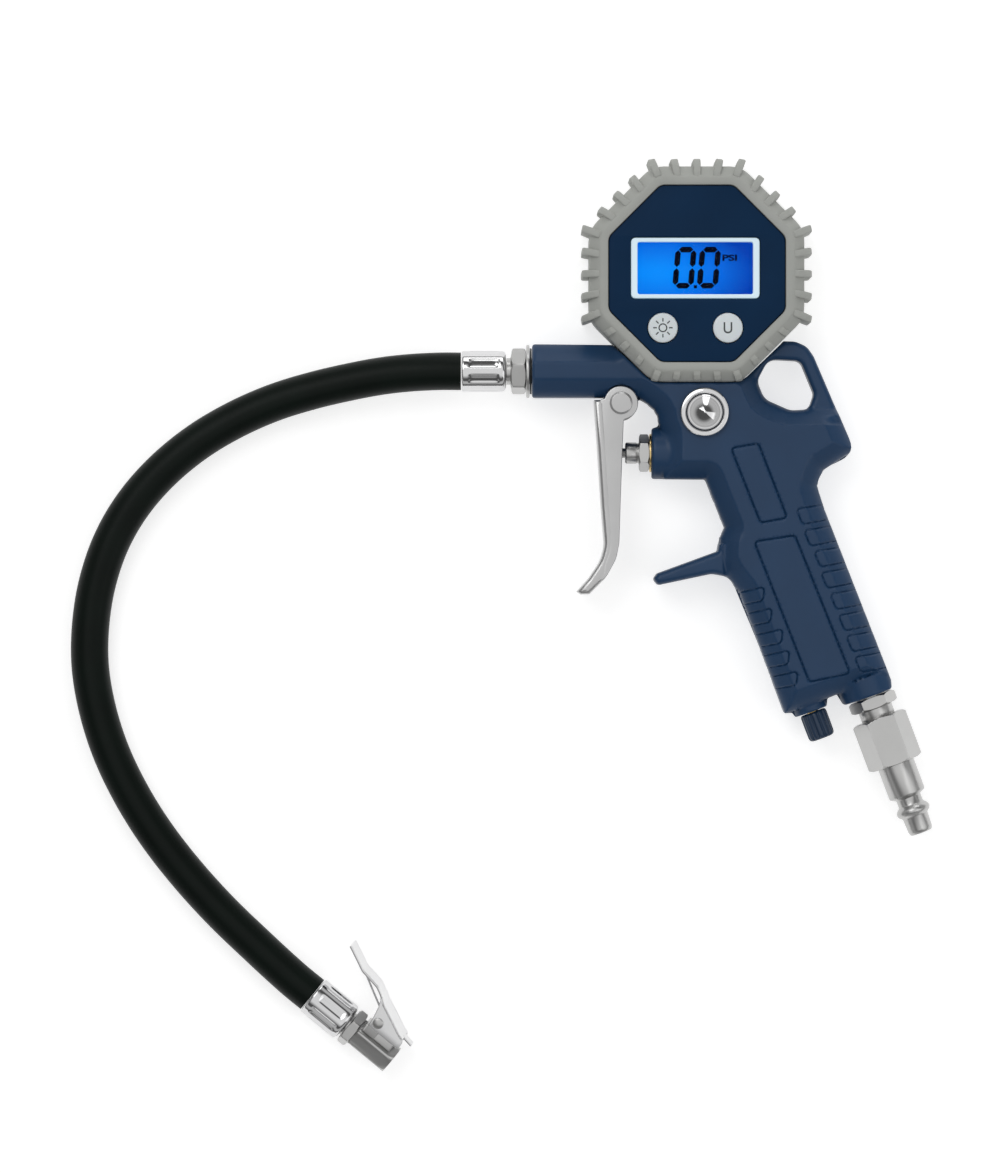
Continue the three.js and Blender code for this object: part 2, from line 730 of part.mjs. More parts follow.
// ---- Bleed button. Heights are from the body's near face. ----
function addBleed() {
  const flange = BLEED_FLANGE_DIAMETER / 2;
  const cup = BLEED_CUP_DIAMETER / 2;
  const button = BLEED_BUTTON_DIAMETER / 2;
  const shank = BLEED_SHANK_DIAMETER / 2;
  const stem = BLEED_STEM_DIAMETER / 2;
  const well = button + FIT_GAP;
  const cupFloor = -1.6;
  const wellFloor = -0.4;
  const shankEnd = -5.2;
  const bezel = turned([
    [shank, shankEnd],
    [shank, cupFloor],
    [cup, cupFloor],
    [cup, FIT_GAP],
    [flange, FIT_GAP],
    [flange, 1.4],
    [flange - 0.8, 2.1],
    [well + 0.4, 2.1],
    [well, 1.7],
    [well, wellFloor],
    [stem + RUNNING_GAP, wellFloor],
    [stem + RUNNING_GAP, shankEnd],
    [shank, shankEnd],
  ]);
  const capFoot = 1.7;
  const capInside = 3.2;
  const hollow = button - 1.5;
  const cap = turned([
    [0, shankEnd - 2.6],
    [stem, shankEnd - 2.6],
    [stem, capInside],
    [hollow, capInside],
    [hollow, capFoot],
    [button, capFoot],
    [button, capFoot + 0.6],
    [button - 0.4, capFoot + 0.9],
    [0, capFoot + 0.9 + BLEED_CONE_HEIGHT],
  ]);
  const coil = spring(stem + 1.4, 0.35, wellFloor + 0.2, capInside - 0.2, 3);
  const seal = sleeve(stem + 1.7, stem + 0.2, shankEnd - 2, shankEnd - 0.3, FINE_ROUND);
  add(bleed, "bleed_bezel", alongZ(bezel), chrome);
  add(bleed, "bleed_button", alongZ(cap), chrome);
  add(bleed, "bleed_spring", alongZ(coil), steel);
  add(bleed, "bleed_seal", alongZ(seal), blackRubber);
}

// ---- Grip end: inlet bushing, screen, air plug and flow knob ----
function airPlug(seat) {
  const barrel = seat + PLUG_HEX_LENGTH;
  const neck = barrel + PLUG_BARREL_LENGTH;
  const flange = neck + 4;
  const nose = flange + 3.9;
  const end = nose + 6.4;
  const neckRadius = PLUG_NECK_DIAMETER / 2;
  const flangeRadius = PLUG_FLANGE_DIAMETER / 2;
  const noseRadius = PLUG_NOSE_DIAMETER / 2;
  const tail = turned([
    [0, barrel - 2],
    [PLUG_BARREL_DIAMETER / 2, barrel - 2],
    [PLUG_BARREL_DIAMETER / 2, neck],
    [neckRadius, neck + 1.1],
    [neckRadius, flange],
    [flangeRadius - 0.5, flange + 1.1],
    [flangeRadius, flange + 1.95],
    [flangeRadius - 0.5, flange + 2.8],
    [noseRadius, nose],
    [noseRadius - 0.3, end - 1],
    [noseRadius - 0.9, end],
    [0, end],
  ]);
  const socket = rod(PLUG_THREAD_DIAMETER / 2 + FIT_GAP, seat - 1, seat + PLUG_THREAD_LENGTH + 1);
  return cut(
    join(hexagon(PLUG_HEX, seat, barrel), tail),
    socket,
    rod(PLUG_BORE / 2, seat, end + 1, FINE_ROUND),
  );
}

function inletBushing(plugSeat) {
  const hexTop = SEAT_GAP * 2;
  const hexEnd = hexTop + BUSHING_HEX_LENGTH;
  const neckRadius = PLUG_THREAD_DIAMETER / 2 + 0.5;
  const body = join(
    rod(INLET_THREAD_DIAMETER / 2, -INLET_THREAD_LENGTH, hexTop + 1),
    hexagon(BUSHING_HEX, hexTop, hexEnd),
    rod(neckRadius, hexEnd - 1, plugSeat - SEAT_GAP),
    rod(PLUG_THREAD_DIAMETER / 2, hexEnd - 1, plugSeat + PLUG_THREAD_LENGTH),
  );
  return cut(body, rod(INLET_BORE / 2, -REACH, REACH, FINE_ROUND));
}

function inletScreen() {
  const back = -INLET_THREAD_LENGTH - FIT_GAP;
  const disc = rod(INLET_THREAD_DIAMETER / 2 - 0.3, back - SCREEN_THICKNESS, back);
  const holes = Array.from({ length: 6 }, (_, i) => {
    const angle = (i * Math.PI) / 3;
    return rod(0.7, -REACH, REACH, 8).translate(2.2 * Math.cos(angle), 0, 2.2 * Math.sin(angle));
  });
  return cut(disc, ...holes, rod(0.7, -REACH, REACH, 8));
}

function flowKnob() {
  const top = KNOB_SEAT + FIT_GAP;
  const steps = KNOB_FLUTES * 5;
  const points = Array.from({ length: steps }, (_, i) => {
    const angle = (2 * Math.PI * i) / steps;
    const wave = (1 - Math.cos(KNOB_FLUTES * angle)) / 2;
    const radius = KNOB_DIAMETER / 2 - KNOB_FLUTE_DEPTH * wave;
    return [radius * Math.cos(angle), radius * Math.sin(angle)];
  });
  const grooved = prism(outline(points), 0, KNOB_LENGTH).rotateX(-Math.PI / 2).translate(0, top, 0);
  const envelope = turned([
    [0, top - 1],
    [KNOB_DIAMETER, top - 1],
    [KNOB_DIAMETER, top + KNOB_LENGTH / 2],
    [KNOB_DIAMETER / 2 - 0.7, top + KNOB_LENGTH],
    [0, top + KNOB_LENGTH],
  ]);
  const socket = rod(SPINDLE_DIAMETER / 2 + SEAT_GAP, top - 1, top + KNOB_LENGTH - 3, FINE_ROUND);
  return cut(common(grooved, envelope), socket);
}

function flowSpindle() {
  const radius = SPINDLE_DIAMETER / 2;
  const sealY = -14;
  return turned(
    [
      [0, -SPINDLE_DEPTH],
      [0.4, -SPINDLE_DEPTH],
      [radius, -SPINDLE_DEPTH + 3],
      [radius, sealY - 0.7],
      [radius - 0.7, sealY - 0.7],
      [radius - 0.7, sealY + 0.7],
      [radius, sealY + 0.7],
      [radius, KNOB_SEAT + KNOB_LENGTH - 3.2],
      [0, KNOB_SEAT + KNOB_LENGTH - 3.2],
    ],
    FINE_ROUND,
  );
}

function addGripEnd() {
  const plugSeat = SEAT_GAP * 2 + BUSHING_HEX_LENGTH + BUSHING_NECK_LENGTH;
  const seal = ringSeal(SPINDLE_DIAMETER / 2 - 0.2, 0.42, -14);
  add(grip, "inlet_bushing", inletBushing(plugSeat), nickel);
  add(grip, "inlet_screen", inletScreen(), brass);
  add(grip, "air_plug", airPlug(plugSeat), nickel);
  add(grip, "flow_knob", flowKnob(), navyPlastic).position.x = KNOB_OFFSET;
  add(grip, "flow_spindle", flowSpindle(), brass).position.x = KNOB_OFFSET;
  add(grip, "flow_o_ring", seal, blackRubber).position.x = KNOB_OFFSET;
}

// ---- Gauge head ----
const caseBack = BOOT_FLOOR + FIT_GAP;
const faceTop = GAUGE_THICKNESS - FACE_RECESS;
const faceBottom = faceTop - FACE_THICKNESS;
const caseTop = faceBottom - FIT_GAP;
const boardFoot = MID + SENSOR_DIAMETER / 2 + 1.6; // the board clears the sensor below it
const switchTop = boardFoot + BOARD_THICKNESS + SWITCH_HEIGHT;
const stemHole = STEM_DIAMETER / 2 + FIT_GAP;

// Five teeth along each square side and three along each diagonal, on the sides clear of the cradle.
// They point away from the gauge's axis.
function bootTeeth() {
  const counts = [5, 3, 5, 3, 5];
  const inner = FACE_FLATS / 2 + 3;
  return counts.flatMap((count, side) =>
    Array.from({ length: count }, (_, i) => {
      const along = (i - (count - 1) / 2) * TOOTH_PITCH;
      const lean = Math.atan(along / (BOOT_FLATS / 2));
      const tooth = block(
        [BOOT_FLATS - inner, TOOTH_WIDTH, GAUGE_THICKNESS],
        [(BOOT_FLATS + inner) / 2, 0, GAUGE_THICKNESS / 2],
      );
      return tooth.rotateZ((side * Math.PI) / 4 + lean);
    }),
  );
}

function gaugeBoot() {
  const shell = prism(octagon(BOOT_FLATS, BOOT_CORNER), 0, GAUGE_THICKNESS, BOOT_BEVEL);
  const toothSpace = prism(
    octagon(BOOT_FLATS + 2 * TOOTH_HEIGHT, BOOT_CORNER), 0, GAUGE_THICKNESS, BOOT_BEVEL,
  );
  const teeth = common(join(...bootTeeth()), toothSpace);
  const pocket = octagon(CASE_FLATS + 2 * FIT_GAP, CASE_CORNER);
  return cut(
    join(shell, teeth),
    prism(pocket, BOOT_FLOOR, caseTop + FIT_GAP),
    prism(octagon(FACE_FLATS + 2 * FIT_GAP, FACE_CORNER), BOOT_FLOOR + 1, REACH),
    prism(octagon(BOOT_BACK_OPENING, CASE_CORNER), -1, BOOT_FLOOR + 1),
    bore([0, 0, MID], [0, -REACH, MID], 2 * stemHole, ROUND),
  );
}

const doorScrewY = BATTERY_DIAMETER + 3;

function gaugeCase() {
  const inside = octagon(CASE_FLATS - 2 * CASE_WALL, CASE_CORNER - CASE_WALL);
  const floor = caseBack + 2;
  const bay = [BATTERY_LENGTH + 1.5, 2 * BATTERY_DIAMETER + 1.6];
  const shell = cut(
    prism(octagon(CASE_FLATS, CASE_CORNER), caseBack, caseTop),
    prism(inside, floor, caseTop + 1),
    block([...bay, 10], [0, 0, caseBack]),
    bore([0, 0, MID], [0, -REACH, MID], 2 * stemHole, ROUND),
  );
  const posts = [-1, 1].map((side) =>
    alongZ(rod(2.1, floor - 1, floor + 7, FINE_ROUND)).translate(0, side * doorScrewY, 0),
  );
  const holes = [-1, 1].map((side) =>
    alongZ(rod(1.15, -1, floor + 6, 8)).translate(0, side * doorScrewY, 0),
  );
  return cut(join(shell, ...posts), ...holes);
}

function facePlate() {
  const [width, height] = DISPLAY.frame;
  const window = prism(
    roundedRectangle(width + 2 * FIT_GAP, height + 2 * FIT_GAP, DISPLAY.corner + FIT_GAP), 0, REACH,
  );
  const holes = [LIGHT_BUTTON, UNIT_BUTTON].map(([x, y]) =>
    alongZ(rod(BUTTON_DIAMETER / 2 + FIT_GAP, 0, REACH)).translate(x, y, 0),
  );
  return cut(
    prism(octagon(FACE_FLATS, FACE_CORNER), faceBottom, faceTop),
    window.translate(DISPLAY.x, DISPLAY.y, 0),
    ...holes,
  );
}

// White bezel around the glass, with a flange that the face plate holds down.
function displayFrame(foot) {
  const [width, height] = DISPLAY.frame;
  const [glassWidth, glassHeight] = DISPLAY.glass;
  const top = faceTop - 0.4;
  const flange = roundedRectangle(width + 2.4, height + 2.4, DISPLAY.corner + 1);
  return cut(
    join(
      prism(roundedRectangle(width, height, DISPLAY.corner), foot, top),
      prism(flange, foot, foot + 1.4),
    ),
    prism(roundedRectangle(glassWidth, glassHeight, 0.6), foot - 1, top + 1),
  ).translate(DISPLAY.x, DISPLAY.y, 0);
}

function addDisplay() {
  const [glassWidth, glassHeight] = DISPLAY.glass;
  const panelTop = faceBottom - 3.4;
  const panel = prism(roundedRectangle(glassWidth + 2, glassHeight + 2, 0.6), panelTop - 2, panelTop);
  const pane = [glassWidth - 2 * FIT_GAP, glassHeight - 2 * FIT_GAP];
  const window = prism(roundedRectangle(...pane, 0.4), faceBottom - 0.6, faceBottom + 0.6);
  add(gauge, "lcd_frame", displayFrame(panelTop + FIT_GAP), whitePlastic);
  add(gauge, "lcd_panel", panel.translate(DISPLAY.x, DISPLAY.y, 0), displayGlass);
  add(gauge, "lcd_window", window.translate(DISPLAY.x, DISPLAY.y, 0), clearPlastic);
}

function pushButton() {
  const radius = BUTTON_DIAMETER / 2;
  const foot = switchTop + 1.2;
  const top = faceTop + BUTTON_PROUD;
  return alongZ(
    turned([
      [0, foot],
      [radius + BUTTON_FLANGE, foot],
      [radius + BUTTON_FLANGE, foot + 1.2],
      [radius, foot + 1.2],
      [radius, top - 0.3],
      [radius - 0.3, top],
      [0, top],
    ]),
  );
}

function circuitBoard() {
  const top = boardFoot + BOARD_THICKNESS;
  const board = prism(octagon(BOARD_FLATS, CASE_CORNER), boardFoot, top);
  const switches = [LIGHT_BUTTON, UNIT_BUTTON].map(([x, y]) =>
    alongZ(rod(2.2, top - 0.5, switchTop, FINE_ROUND)).translate(x, y, 0),
  );
  return join(board, ...switches);
}

function addBatteries() {
  const doorTop = caseBack - FIT_GAP;
  const middle = doorTop + 0.6 + BATTERY_DIAMETER / 2;
  const radius = BATTERY_DIAMETER / 2;
  [-1, 1].forEach((side, i) => {
    const cell = turned([
      [0, -BATTERY_LENGTH / 2],
      [radius, -BATTERY_LENGTH / 2],
      [radius, BATTERY_LENGTH / 2 - 1],
      [1.9, BATTERY_LENGTH / 2 - 1],
      [1.9, BATTERY_LENGTH / 2],
      [0, BATTERY_LENGTH / 2],
    ], FINE_ROUND);
    const battery = add(gauge, "battery_" + (i + 1), alongX(cell), steel);
    battery.position.set(0, side * (radius + FIT_GAP), middle);
    const contact = block([0.5, 2 * BATTERY_DIAMETER - 1, 8], [0, 0, 0]);
    const plate = add(gauge, "battery_contact_" + (i + 1), contact, nickel);
    plate.position.set(side * (BATTERY_LENGTH / 2 + 1.1), 0, middle + 1.6);
    const screw = turned([
      [0, doorTop - DOOR_THICKNESS - 0.6],
      [1.6, doorTop - DOOR_THICKNESS - 0.6],
      [1.6, doorTop - DOOR_THICKNESS - SEAT_GAP],
      [0.9, doorTop - DOOR_THICKNESS - SEAT_GAP],
      [0.9, caseBack + 6],
      [0, caseBack + 6],
    ], FINE_ROUND);
    const fastener = add(gauge, "door_screw_" + (i + 1), alongZ(screw), steel);
    fastener.position.y = side * doorScrewY;
  });
  const holes = [-1, 1].map((side) =>
    alongZ(rod(1.2, -1, REACH, 8)).translate(0, side * doorScrewY, 0),
  );
  const door = prism(roundedRectangle(...BATTERY_DOOR, 3), doorTop - DOOR_THICKNESS, doorTop);
  add(gauge, "battery_door", cut(door, ...holes), darkPlastic);
}

// The threaded stem that feeds the sensor, from inside the case down into the body.
function addStem() {
  const wall = -(CASE_FLATS / 2 - CASE_WALL);
  const shoulder = -BOOT_FLATS / 2 - 0.2;
  const end = CRADLE_Y - gaugeY - STEM_THREAD_LENGTH;
  const sealY = (shoulder + end) / 2;
  const thread = STEM_THREAD_DIAMETER / 2;
  const top = wall + SEAT_GAP + 2;
  const body = turned([
    [0, end],
    [thread, end],
    [thread, sealY - 0.6],
    [thread - 0.6, sealY - 0.6],
    [thread - 0.6, sealY + 0.6],
    [thread, sealY + 0.6],
    [thread, shoulder],
    [STEM_DIAMETER / 2, shoulder],
    [STEM_DIAMETER / 2, wall + SEAT_GAP],
    [STEM_DIAMETER / 2 + 1.2, wall + SEAT_GAP],
    [STEM_DIAMETER / 2 + 1.2, top],
    [0, top],
  ]);
  const sensor = rod(SENSOR_DIAMETER / 2, top + FIT_GAP, top + 8, FINE_ROUND);
  const stem = cut(body, rod(1.2, -REACH, REACH, 8));
  add(gauge, "gauge_stem", stem, brass).position.z = MID;
  add(gauge, "stem_o_ring", ringSeal(thread - 0.15, 0.38, sealY), blackRubber).position.z = MID;
  add(gauge, "pressure_sensor", sensor, steel).position.z = MID;
}

function addGauge() {
  add(gauge, "gauge_boot", gaugeBoot(), greyRubber);
  add(gauge, "gauge_case", gaugeCase(), darkPlastic);
  add(gauge, "face_plate", facePlate(), navyPlastic);
  add(gauge, "circuit_board", circuitBoard(), boardGreen);
  add(gauge, "backlight_button", pushButton(), whitePlastic).position.set(...LIGHT_BUTTON, 0);
  add(gauge, "unit_button", pushButton(), whitePlastic).position.set(...UNIT_BUTTON, 0);
  addDisplay();
  addBatteries();
  addStem();
}

// ---- Hose and its end fittings ----
const ferruleRadius = HOSE_DIAMETER / 2 + 0.6;
const ferruleInside = ferruleRadius - FERRULE_WALL;

// A crimped sleeve from the hose's end, open there and drawn in at its other end.
function ferrule() {
  const foot = FIT_GAP;
  const end = FERRULE_LENGTH;
  const throat = BARB_DIAMETER / 2 + RUNNING_GAP;
  return turned([
    [ferruleRadius, foot],
    [ferruleRadius, end - 1.2],
    [ferruleRadius - 1.2, end],
    [throat, end],
    [throat, end - FERRULE_WALL],
    [ferruleInside, end - FERRULE_WALL - 0.5],
    [ferruleInside, foot],
    [ferruleRadius, foot],
  ]);
}

function addHoseEnd() {
  const sealEnd = BARREL_FACE_X - SEAT_GAP - SEAL_THICKNESS;
  const washerEnd = sealEnd - SEAT_GAP - WASHER_THICKNESS;
  const hexStart = washerEnd - SEAT_GAP;
  const hexEnd = hexStart - HOSE_HEX_LENGTH;
  const hoseStart = HOSE_ROUTE[0][0];
  const ferruleEnd = hoseStart + FERRULE_LENGTH;
  const holeRadius = HOSE_THREAD_DIAMETER / 2 + FIT_GAP;
  const fitting = cut(
    join(
      rod(BARB_DIAMETER / 2, hoseStart + 2, hexEnd + 1),
      rod(BARB_DIAMETER / 2 + 1.4, ferruleEnd + SEAT_GAP, hexEnd + 1),
      hexagon(HOSE_HEX, hexEnd, hexStart),
      rod(HOSE_THREAD_DIAMETER / 2, hexStart - 1, BARREL_FACE_X + HOSE_THREAD_LENGTH),
    ),
    rod(2, -REACH * 2, REACH, FINE_ROUND),
  );
  const seal = sleeve(SEAL_DIAMETER / 2, holeRadius, sealEnd, sealEnd + SEAL_THICKNESS);
  const washer = sleeve(WASHER_DIAMETER / 2, holeRadius, washerEnd, washerEnd + WASHER_THICKNESS);
  add(hoseEnd, "barrel_seal", alongX(seal), blackRubber);
  add(hoseEnd, "hose_washer", alongX(washer), nickel);
  add(hoseEnd, "hose_fitting", alongX(fitting), nickel);
  add(hoseEnd, "ferrule_gun", alongX(ferrule()), chrome).position.x = hoseStart;
}

function addHose() {
  const route = new THREE.CatmullRomCurve3(HOSE_ROUTE.map((p) => new THREE.Vector3(...p)));
  const tube = wireAlong(route, HOSE_DIAMETER / 2, 12, HOSE_STEPS);
  cordNodes.add(add(inflator, "hose", tube, blackRubber));
}

// ---- Tyre chuck. Side views list [distance from the hose's end, height above the axis]. ----
const chuckSide = (points) => outline(points.map(([along, height]) => [-height, along]));
const hexLow = FERRULE_LENGTH + 0.7;
const chuckFoot = hexLow + CHUCK_HEX_LENGTH + SEAT_GAP;
const chuckEnd = chuckFoot + CHUCK_LENGTH;

function chuckTail() {
  const body = join(
    rod(BARB_DIAMETER / 2, 2, hexLow + 1),
    rod(BARB_DIAMETER / 2 + 1.4, FERRULE_LENGTH + SEAT_GAP, hexLow + 1),
    hexagon(CHUCK_HEX, hexLow, hexLow + CHUCK_HEX_LENGTH),
    rod(CHUCK_THREAD_DIAMETER / 2, hexLow + 1, chuckFoot + CHUCK_THREAD_LENGTH),
  );
  return cut(body, rod(1.6, -1, REACH, FINE_ROUND));
}

function chuckBody() {
  const radius = CHUCK_DIAMETER / 2;
  const [pivotAlong, pivotHeight] = LEVER_PIVOT;
  const earShape = chuckSide([
    [pivotAlong - 2.2, 0],
    [pivotAlong + 2.4, 0],
    [pivotAlong + 2.4, pivotHeight + 2.4],
    [pivotAlong - 2.2, pivotHeight + 2.4],
  ]);
  const barrel = turned([
    [0, chuckFoot],
    [radius, chuckFoot],
    [radius, chuckEnd - 0.5],
    [radius - 0.5, chuckEnd],
    [0, chuckEnd],
  ]);
  const socketEnd = chuckFoot + CHUCK_THREAD_LENGTH + FIT_GAP;
  const chamber = chuckEnd - CHUCK_CHAMBER_LENGTH;
  const slot = chuckSide([
    [pivotAlong + 9.2, 3],
    [pivotAlong + REACH, 3],
    [pivotAlong + REACH, REACH],
    [pivotAlong + 9.2, REACH],
  ]);
  return cut(
    join(barrel, slab(earShape, 2 * (radius - 0.1), 0)),
    alongZ(rod(LEVER_PIN_DIAMETER / 2 + SEAT_GAP, -REACH, REACH, FINE_ROUND)).translate(
      -pivotHeight, pivotAlong, 0,
    ),
    alongZ(rod(2.4, -3, 3, FINE_ROUND)).translate(-pivotHeight, pivotAlong, 0),
    block([REACH, 5.4, 6], [-pivotHeight - REACH / 2, pivotAlong, 0]),
    slab(slot, 5.6, 0),
    rod(CHUCK_THREAD_DIAMETER / 2 + FIT_GAP, 0, socketEnd, FINE_ROUND),
    rod(1.6, 0, REACH, FINE_ROUND),
    rod(CHUCK_MOUTH / 2, chamber, REACH),
  );
}

// Pressed sheet: two cheeks, a top that joins them, a thumb tab, and a tooth that grips the thread.
function chuckLever() {
  const top = [[18.7, 17.4], [21.7, 15.3], [32.4, 10.5], [34.6, 9.7]];
  const cheekSide = chuckSide([
    ...top,
    [35, 8.3],
    [35, 6],
    [21.9, 6],
    [21.4, 8.6],
    [20.3, 13.6],
    [18.7, 16.4],
  ]);
  const beneath = chuckSide([
    [12, 17.2],
    ...top.map(([along, height]) => [along - 0.4, height - LEVER_SHEET]),
    [REACH, 8.2],
    [REACH, -1],
    [12, -1],
  ]);
  const cheeks = cut(
    slab(cheekSide, LEVER_WIDTH, 0),
    slab(beneath, LEVER_WIDTH - 2 * LEVER_SHEET, 0),
  );
  const tabTop = [[21.7, 15.3], [18.7, 17.4], [15.9, 18.8], [12.3, 19.4], [8.5, 19.9], [4.7, 21.7], [-0.5, 24.1]];
  const tabFoot = tabTop.map(([along, height]) => [along - 0.35, height - LEVER_SHEET]).reverse();
  const tab = slab(chuckSide([...tabTop, ...tabFoot]), LEVER_TAB_WIDTH, 0);
  const tooth = slab(
    chuckSide([[32.4, 10.5], [38.1, 9.5], [38, 8.6], [34.9, 9.1], [34.9, 4.5], [34, 4.5], [33.9, 9.1], [32, 9.8]]),
    5, 0,
  );
  const [pivotAlong, pivotHeight] = LEVER_PIVOT;
  const pinHole = alongZ(rod(LEVER_PIN_DIAMETER / 2 + RUNNING_GAP, -REACH, REACH, FINE_ROUND));
  return cut(join(cheeks, tab, tooth), pinHole.translate(-pivotHeight, pivotAlong, 0));
}

function leverPin() {
  const [pivotAlong, pivotHeight] = LEVER_PIVOT;
  const radius = LEVER_PIN_DIAMETER / 2;
  const face = LEVER_WIDTH / 2 + SEAT_GAP;
  return alongZ(
    turned([
      [0, -face - 0.5],
      [radius + 0.4, -face - 0.5],
      [radius + 0.7, -face],
      [radius, -face],
      [radius, face],
      [radius + 0.7, face],
      [radius + 0.4, face + 0.5],
      [0, face + 0.5],
    ], FINE_ROUND),
  ).translate(-pivotHeight, pivotAlong, 0);
}

// A torsion spring around the pin: a long leg under the thumb tab and a short one over the body.
function leverSpring() {
  const [pivotAlong, pivotHeight] = LEVER_PIVOT;
  const radius = 1.75;
  const wire = 0.35;
  const turns = 3;
  const halfWidth = 1.9;
  const points = [new THREE.Vector3(-18.1, 8.9, -halfWidth)];
  const stepsPerTurn = 10;
  const leave = radians(205);
  for (let i = 0; i <= turns * stepsPerTurn; i++) {
    const angle = leave - (i * 2 * Math.PI) / stepsPerTurn;
    const drift = (2 * halfWidth * i) / (turns * stepsPerTurn) - halfWidth;
    points.push(
      new THREE.Vector3(
        -pivotHeight + radius * Math.cos(angle),
        pivotAlong + radius * Math.sin(angle),
        drift,
      ),
    );
  }
  points.push(new THREE.Vector3(-pivotHeight - 1.2, pivotAlong + 5.5, halfWidth));
  const path = new THREE.CatmullRomCurve3(points, false, "centripetal");
  return wireAlong(path, wire, 4, 36);
}

function addChuck() {
  const chamber = chuckEnd - CHUCK_CHAMBER_LENGTH;
  const mouth = CHUCK_MOUTH / 2;
  const spider = cut(
    join(
      rod(mouth - FIT_GAP, chamber + 0.2, chamber + 1, FINE_ROUND),
      rod(0.9, chamber + 0.5, chamber + 5, FINE_ROUND),
    ),
    ...[0, 1, 2].map((i) =>
      rod(0.8, 0, REACH, 8)
        .translate(2.4, 0, 0)
        .rotateY((i * 2 * Math.PI) / 3),
    ),
  );
  const grommet = sleeve(mouth - 0.2, 2.2, chamber + 1.3, chamber + 4, FINE_ROUND);
  const pieces = [
    add(chuck, "ferrule_chuck", ferrule(), chrome),
    add(chuck, "chuck_tail", chuckTail(), nickel),
    add(chuck, "chuck_body", chuckBody(), nickel),
    add(chuck, "chuck_depressor", spider, brass),
    add(chuck, "chuck_grommet", grommet, blackRubber),
    add(chuck, "chuck_lever", chuckLever(), chrome),
    add(chuck, "chuck_lever_pin", leverPin(), nickel),
    add(chuck, "chuck_spring", leverSpring(), steel),
  ];
  pieces.forEach((piece) => cordNodes.add(piece));
}

add(inflator, "body_casting", bodyCasting(), navyPaint);
addTrigger();
addValve();
addBleed();
addGripEnd();
addGauge();
addHoseEnd();
addHose();
addChuck();

// The origin is under the middle of the inflator's own pieces, without the hose and its chuck.
inflator.updateMatrixWorld(true);
const extent = new THREE.Box3();
inflator.traverse((piece) => {
  if (piece.isMesh && !cordNodes.has(piece)) extent.expandByObject(piece, true);
});
const middle = extent.getCenter(new THREE.Vector3());
inflator.position.set(-middle.x, -middle.y, -extent.min.z);

export default inflator;
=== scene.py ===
"""Looks of a tyre inflator with a digital gauge: an add-on with one operator for each group of pieces."""

import math

import bmesh
import bpy
import numpy as np
from mathutils import Matrix, Vector
from mathutils.geometry import delaunay_2d_cdt


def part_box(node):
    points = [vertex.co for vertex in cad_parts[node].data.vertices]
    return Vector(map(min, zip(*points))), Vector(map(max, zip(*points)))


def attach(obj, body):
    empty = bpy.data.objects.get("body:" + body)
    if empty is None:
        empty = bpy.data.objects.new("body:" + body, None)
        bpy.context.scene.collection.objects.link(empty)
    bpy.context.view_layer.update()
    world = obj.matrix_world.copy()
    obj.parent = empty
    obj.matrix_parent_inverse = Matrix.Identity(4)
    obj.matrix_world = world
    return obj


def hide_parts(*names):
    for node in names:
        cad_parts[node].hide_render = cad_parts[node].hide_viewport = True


bl_info = {
    "name": "Tyre Inflator",
    "version": (1, 0, 0),
    "blender": (4, 5, 0),
    "location": "3D View > Sidebar > Inflator",
    "description": "Builds a tyre inflator with a digital gauge around its packed frame",
    "category": "Object",
}

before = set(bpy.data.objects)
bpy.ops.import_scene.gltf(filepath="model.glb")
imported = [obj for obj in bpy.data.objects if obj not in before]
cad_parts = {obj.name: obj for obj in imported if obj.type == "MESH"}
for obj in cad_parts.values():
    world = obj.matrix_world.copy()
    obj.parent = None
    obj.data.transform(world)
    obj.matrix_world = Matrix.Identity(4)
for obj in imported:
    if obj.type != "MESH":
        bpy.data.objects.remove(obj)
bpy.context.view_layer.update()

# ---- Places, from the frame. Shapes are drawn in millimetres about the gauge's axis. ----
MM = 0.001
ROOT = "inflator"
plate_low, plate_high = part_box("face_plate")
gauge_axis = (plate_low + plate_high) / 2
body_low, body_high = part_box("body_casting")
THICKNESS = (body_high.z - body_low.z) / MM
MIDDLE = THICKNESS / 2
FACE_TOP = plate_high.z / MM

IN_ROW = Matrix.Translation((gauge_axis.x, gauge_axis.y, 0)) @ Matrix.Scale(MM, 4)


def frame_at(place, *turns):
    """A millimetre frame at a place of the gauge's frame, turned about (axis, degrees) pairs."""
    made = IN_ROW @ Matrix.Translation(place)
    for axis, degrees in turns:
        made = made @ Matrix.Rotation(math.radians(degrees), 4, axis)
    return made


GRIP_LEAN = 20.5
VALVE_AXIS = -62.1
BARREL_AXIS = -33.5
HOSE_EXIT = (-82.2, BARREL_AXIS, 12)
CHUCK_END = (-134.3, -251.9, 7.3)
GRIP_PLACE = (61.2, -147.2, MIDDLE)
PIVOT = (-26.3, -44.8)
DISPLAY_CENTRE = (-0.6, 1.9)
BACKLIGHT_PLACE, UNIT_PLACE = (-11.9, -18.9), (10.7, -18.9)
GAUGE = frame_at((0, 0, 0))
GRIP = frame_at(GRIP_PLACE, ("Z", 180 + GRIP_LEAN))
VALVE = frame_at((0, VALVE_AXIS, MIDDLE), ("Z", -90))
BARREL = frame_at((0, BARREL_AXIS, MIDDLE), ("Z", -90))
BLEED = frame_at((2.8, -48.1, THICKNESS), ("X", 90))
TRIGGER_PIN = frame_at((*PIVOT, MIDDLE), ("X", 90))
CHUCK = frame_at(CHUCK_END, ("Z", -129.5), ("Y", 11))

